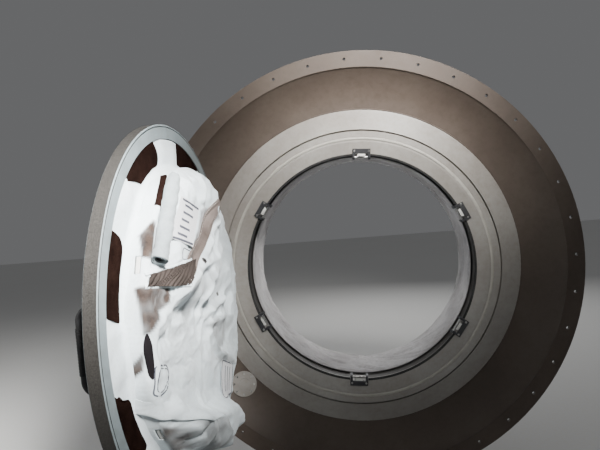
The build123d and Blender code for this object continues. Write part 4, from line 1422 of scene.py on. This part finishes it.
strap, strap_stitches = make_strap(cover)
place_piece(strap, "door", "white_cloth")
place_piece(strap_stitches, "door", "white_cloth")

seam_flap = make_seam_flap(surface)
place_piece(seam_flap, "door", "white_cloth")

lens_shadow = make_lens_shadow(surface)
place_piece(lens_shadow, "door", "dark_paint")

labels = make_labels(surface, cover)

webbing = make_pleated_band(surface)

for piece, slot in [*labels, *webbing, *make_eyelets(surface)]:
    place_piece(piece, "door", slot)
for number in range(STRIP_COUNT):
    strip = make_strip(number)
    place_piece(strip, "door", "brown_patch", "fastening_patches")

liner = make_liner()
place_piece(liner, "bulkhead", "liner_cloth", "tunnel_liner")

dome_edges = [(RING_OUTER, RING_EDGE_Y, 2.4, 720, 0.35), (DOME_OUTER, DOME_LOW_Y + 0.5, 2.2, 720, 0.35)]
dome_welds = make_weld("dome_welds", PAINTED_DOME, BULKHEAD, *dome_edges)
place_piece(dome_welds, "bulkhead", "structure_paint")
place_piece(make_bulkhead_screws(), "bulkhead", "steel")
place_piece(make_keeper_pads(), "bulkhead", "white_cloth")
plate_weld = make_weld("plate_weld", PAINTED_DOOR, DOOR, (PLATE_EDGE, FLOOR_Y, 1.8, 480, 0.3))
place_piece(plate_weld, "door", "door_paint")
place_piece(make_door_screws(), "door", "steel")
for piece, slot in make_gauge_dial():
    place_piece(piece, "door", slot)
grab_grip, knob_grip = make_grips()
place_piece(grab_grip, "door", "seal_rubber")
place_piece(knob_grip, "latch_handle", "seal_rubber")


# Camera, fitted to the ring's circles and the door's rim in the photograph, and studio

CAMERA_POSITION = (-0.0075, -2.0335, 0.257)
CAMERA_YAW = radians(5.32)
CAMERA_PITCH = radians(-2.48)
CAMERA_ROLL = radians(4.75)
FOCAL_PIXELS = 586.8
PHOTO_WIDTH = 600
SENSOR = 36.0


def add_camera():
    data = bpy.data.cameras.new("camera")
    data.sensor_width = SENSOR
    data.lens = FOCAL_PIXELS / PHOTO_WIDTH * SENSOR
    camera = bpy.data.objects.new("camera", data)
    bpy.context.scene.collection.objects.link(camera)
    turn = (
        Matrix.Rotation(CAMERA_YAW, 3, "Z")
        @ Matrix.Rotation(CAMERA_PITCH, 3, "X")
        @ Matrix.Rotation(CAMERA_ROLL, 3, "Y")
    )
    right, forward, up = turn.col[0], turn.col[1], turn.col[2]
    basis = Matrix((right, up, -forward)).transposed()
    camera.matrix_world = Matrix.Translation(CAMERA_POSITION) @ basis.to_4x4()
    bpy.context.scene.camera = camera


def add_light(name, position, target, size, power, colour=(1, 1, 1), spread=180):
    data = bpy.data.lights.new(name, "AREA")
    data.shape = "DISK"
    data.size = size
    data.energy = power
    data.color = colour
    data.spread = radians(spread)
    light = bpy.data.objects.new(name, data)
    bpy.context.scene.collection.objects.link(light)
    light.location = position
    light.rotation_mode = "QUATERNION"
    light.rotation_quaternion = (Vector(target) - Vector(position)).to_track_quat("-Z", "Y")


add_camera()
add_light("key", (0.38, -2.1, 1.2), (-0.72, -0.72, 0.17), 0.45, 12, (1.0, 0.99, 0.97), 33)
add_light("upper", (0.5, -1.7, 1.7), (0.06, 0.1, 0.58), 0.5, 6.5, (1.0, 0.98, 0.95), 34)
add_light("top", (-0.6, -0.8, 3.2), (-0.2, 0.0, 0.0), 2.5, 4)
add_light("side", (-3.4, -1.2, 1.4), (-0.5, -0.5, 0.0), 1.6, 14)
add_light("back", (0.8, 3.4, 1.6), (0.0, 0.2, 0.0), 2.2, 34)

world = bpy.data.worlds.new("studio")
world.use_nodes = True
world.node_tree.nodes["Background"].inputs["Color"].default_value = (0.85, 0.86, 0.88, 1)
world.node_tree.nodes["Background"].inputs["Strength"].default_value = 0.16
bpy.context.scene.world = world

FLOOR_DROP = 0.02
FLOOR_REACH = 12.0
floor_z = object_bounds()[0].z - FLOOR_DROP
corners = ((-1, -1), (1, -1), (1, 1), (-1, 1))
floor = add_mesh(
    "floor",
    [(x * FLOOR_REACH, y * FLOOR_REACH, floor_z) for x, y in corners],
    [(0, 1, 2, 3)],
    painted("floor", (0.75, 0.75, 0.74), (0.73, 0.73, 0.72), 0.5, (0.85, 0.95), 0.99),
    WORLD,
)
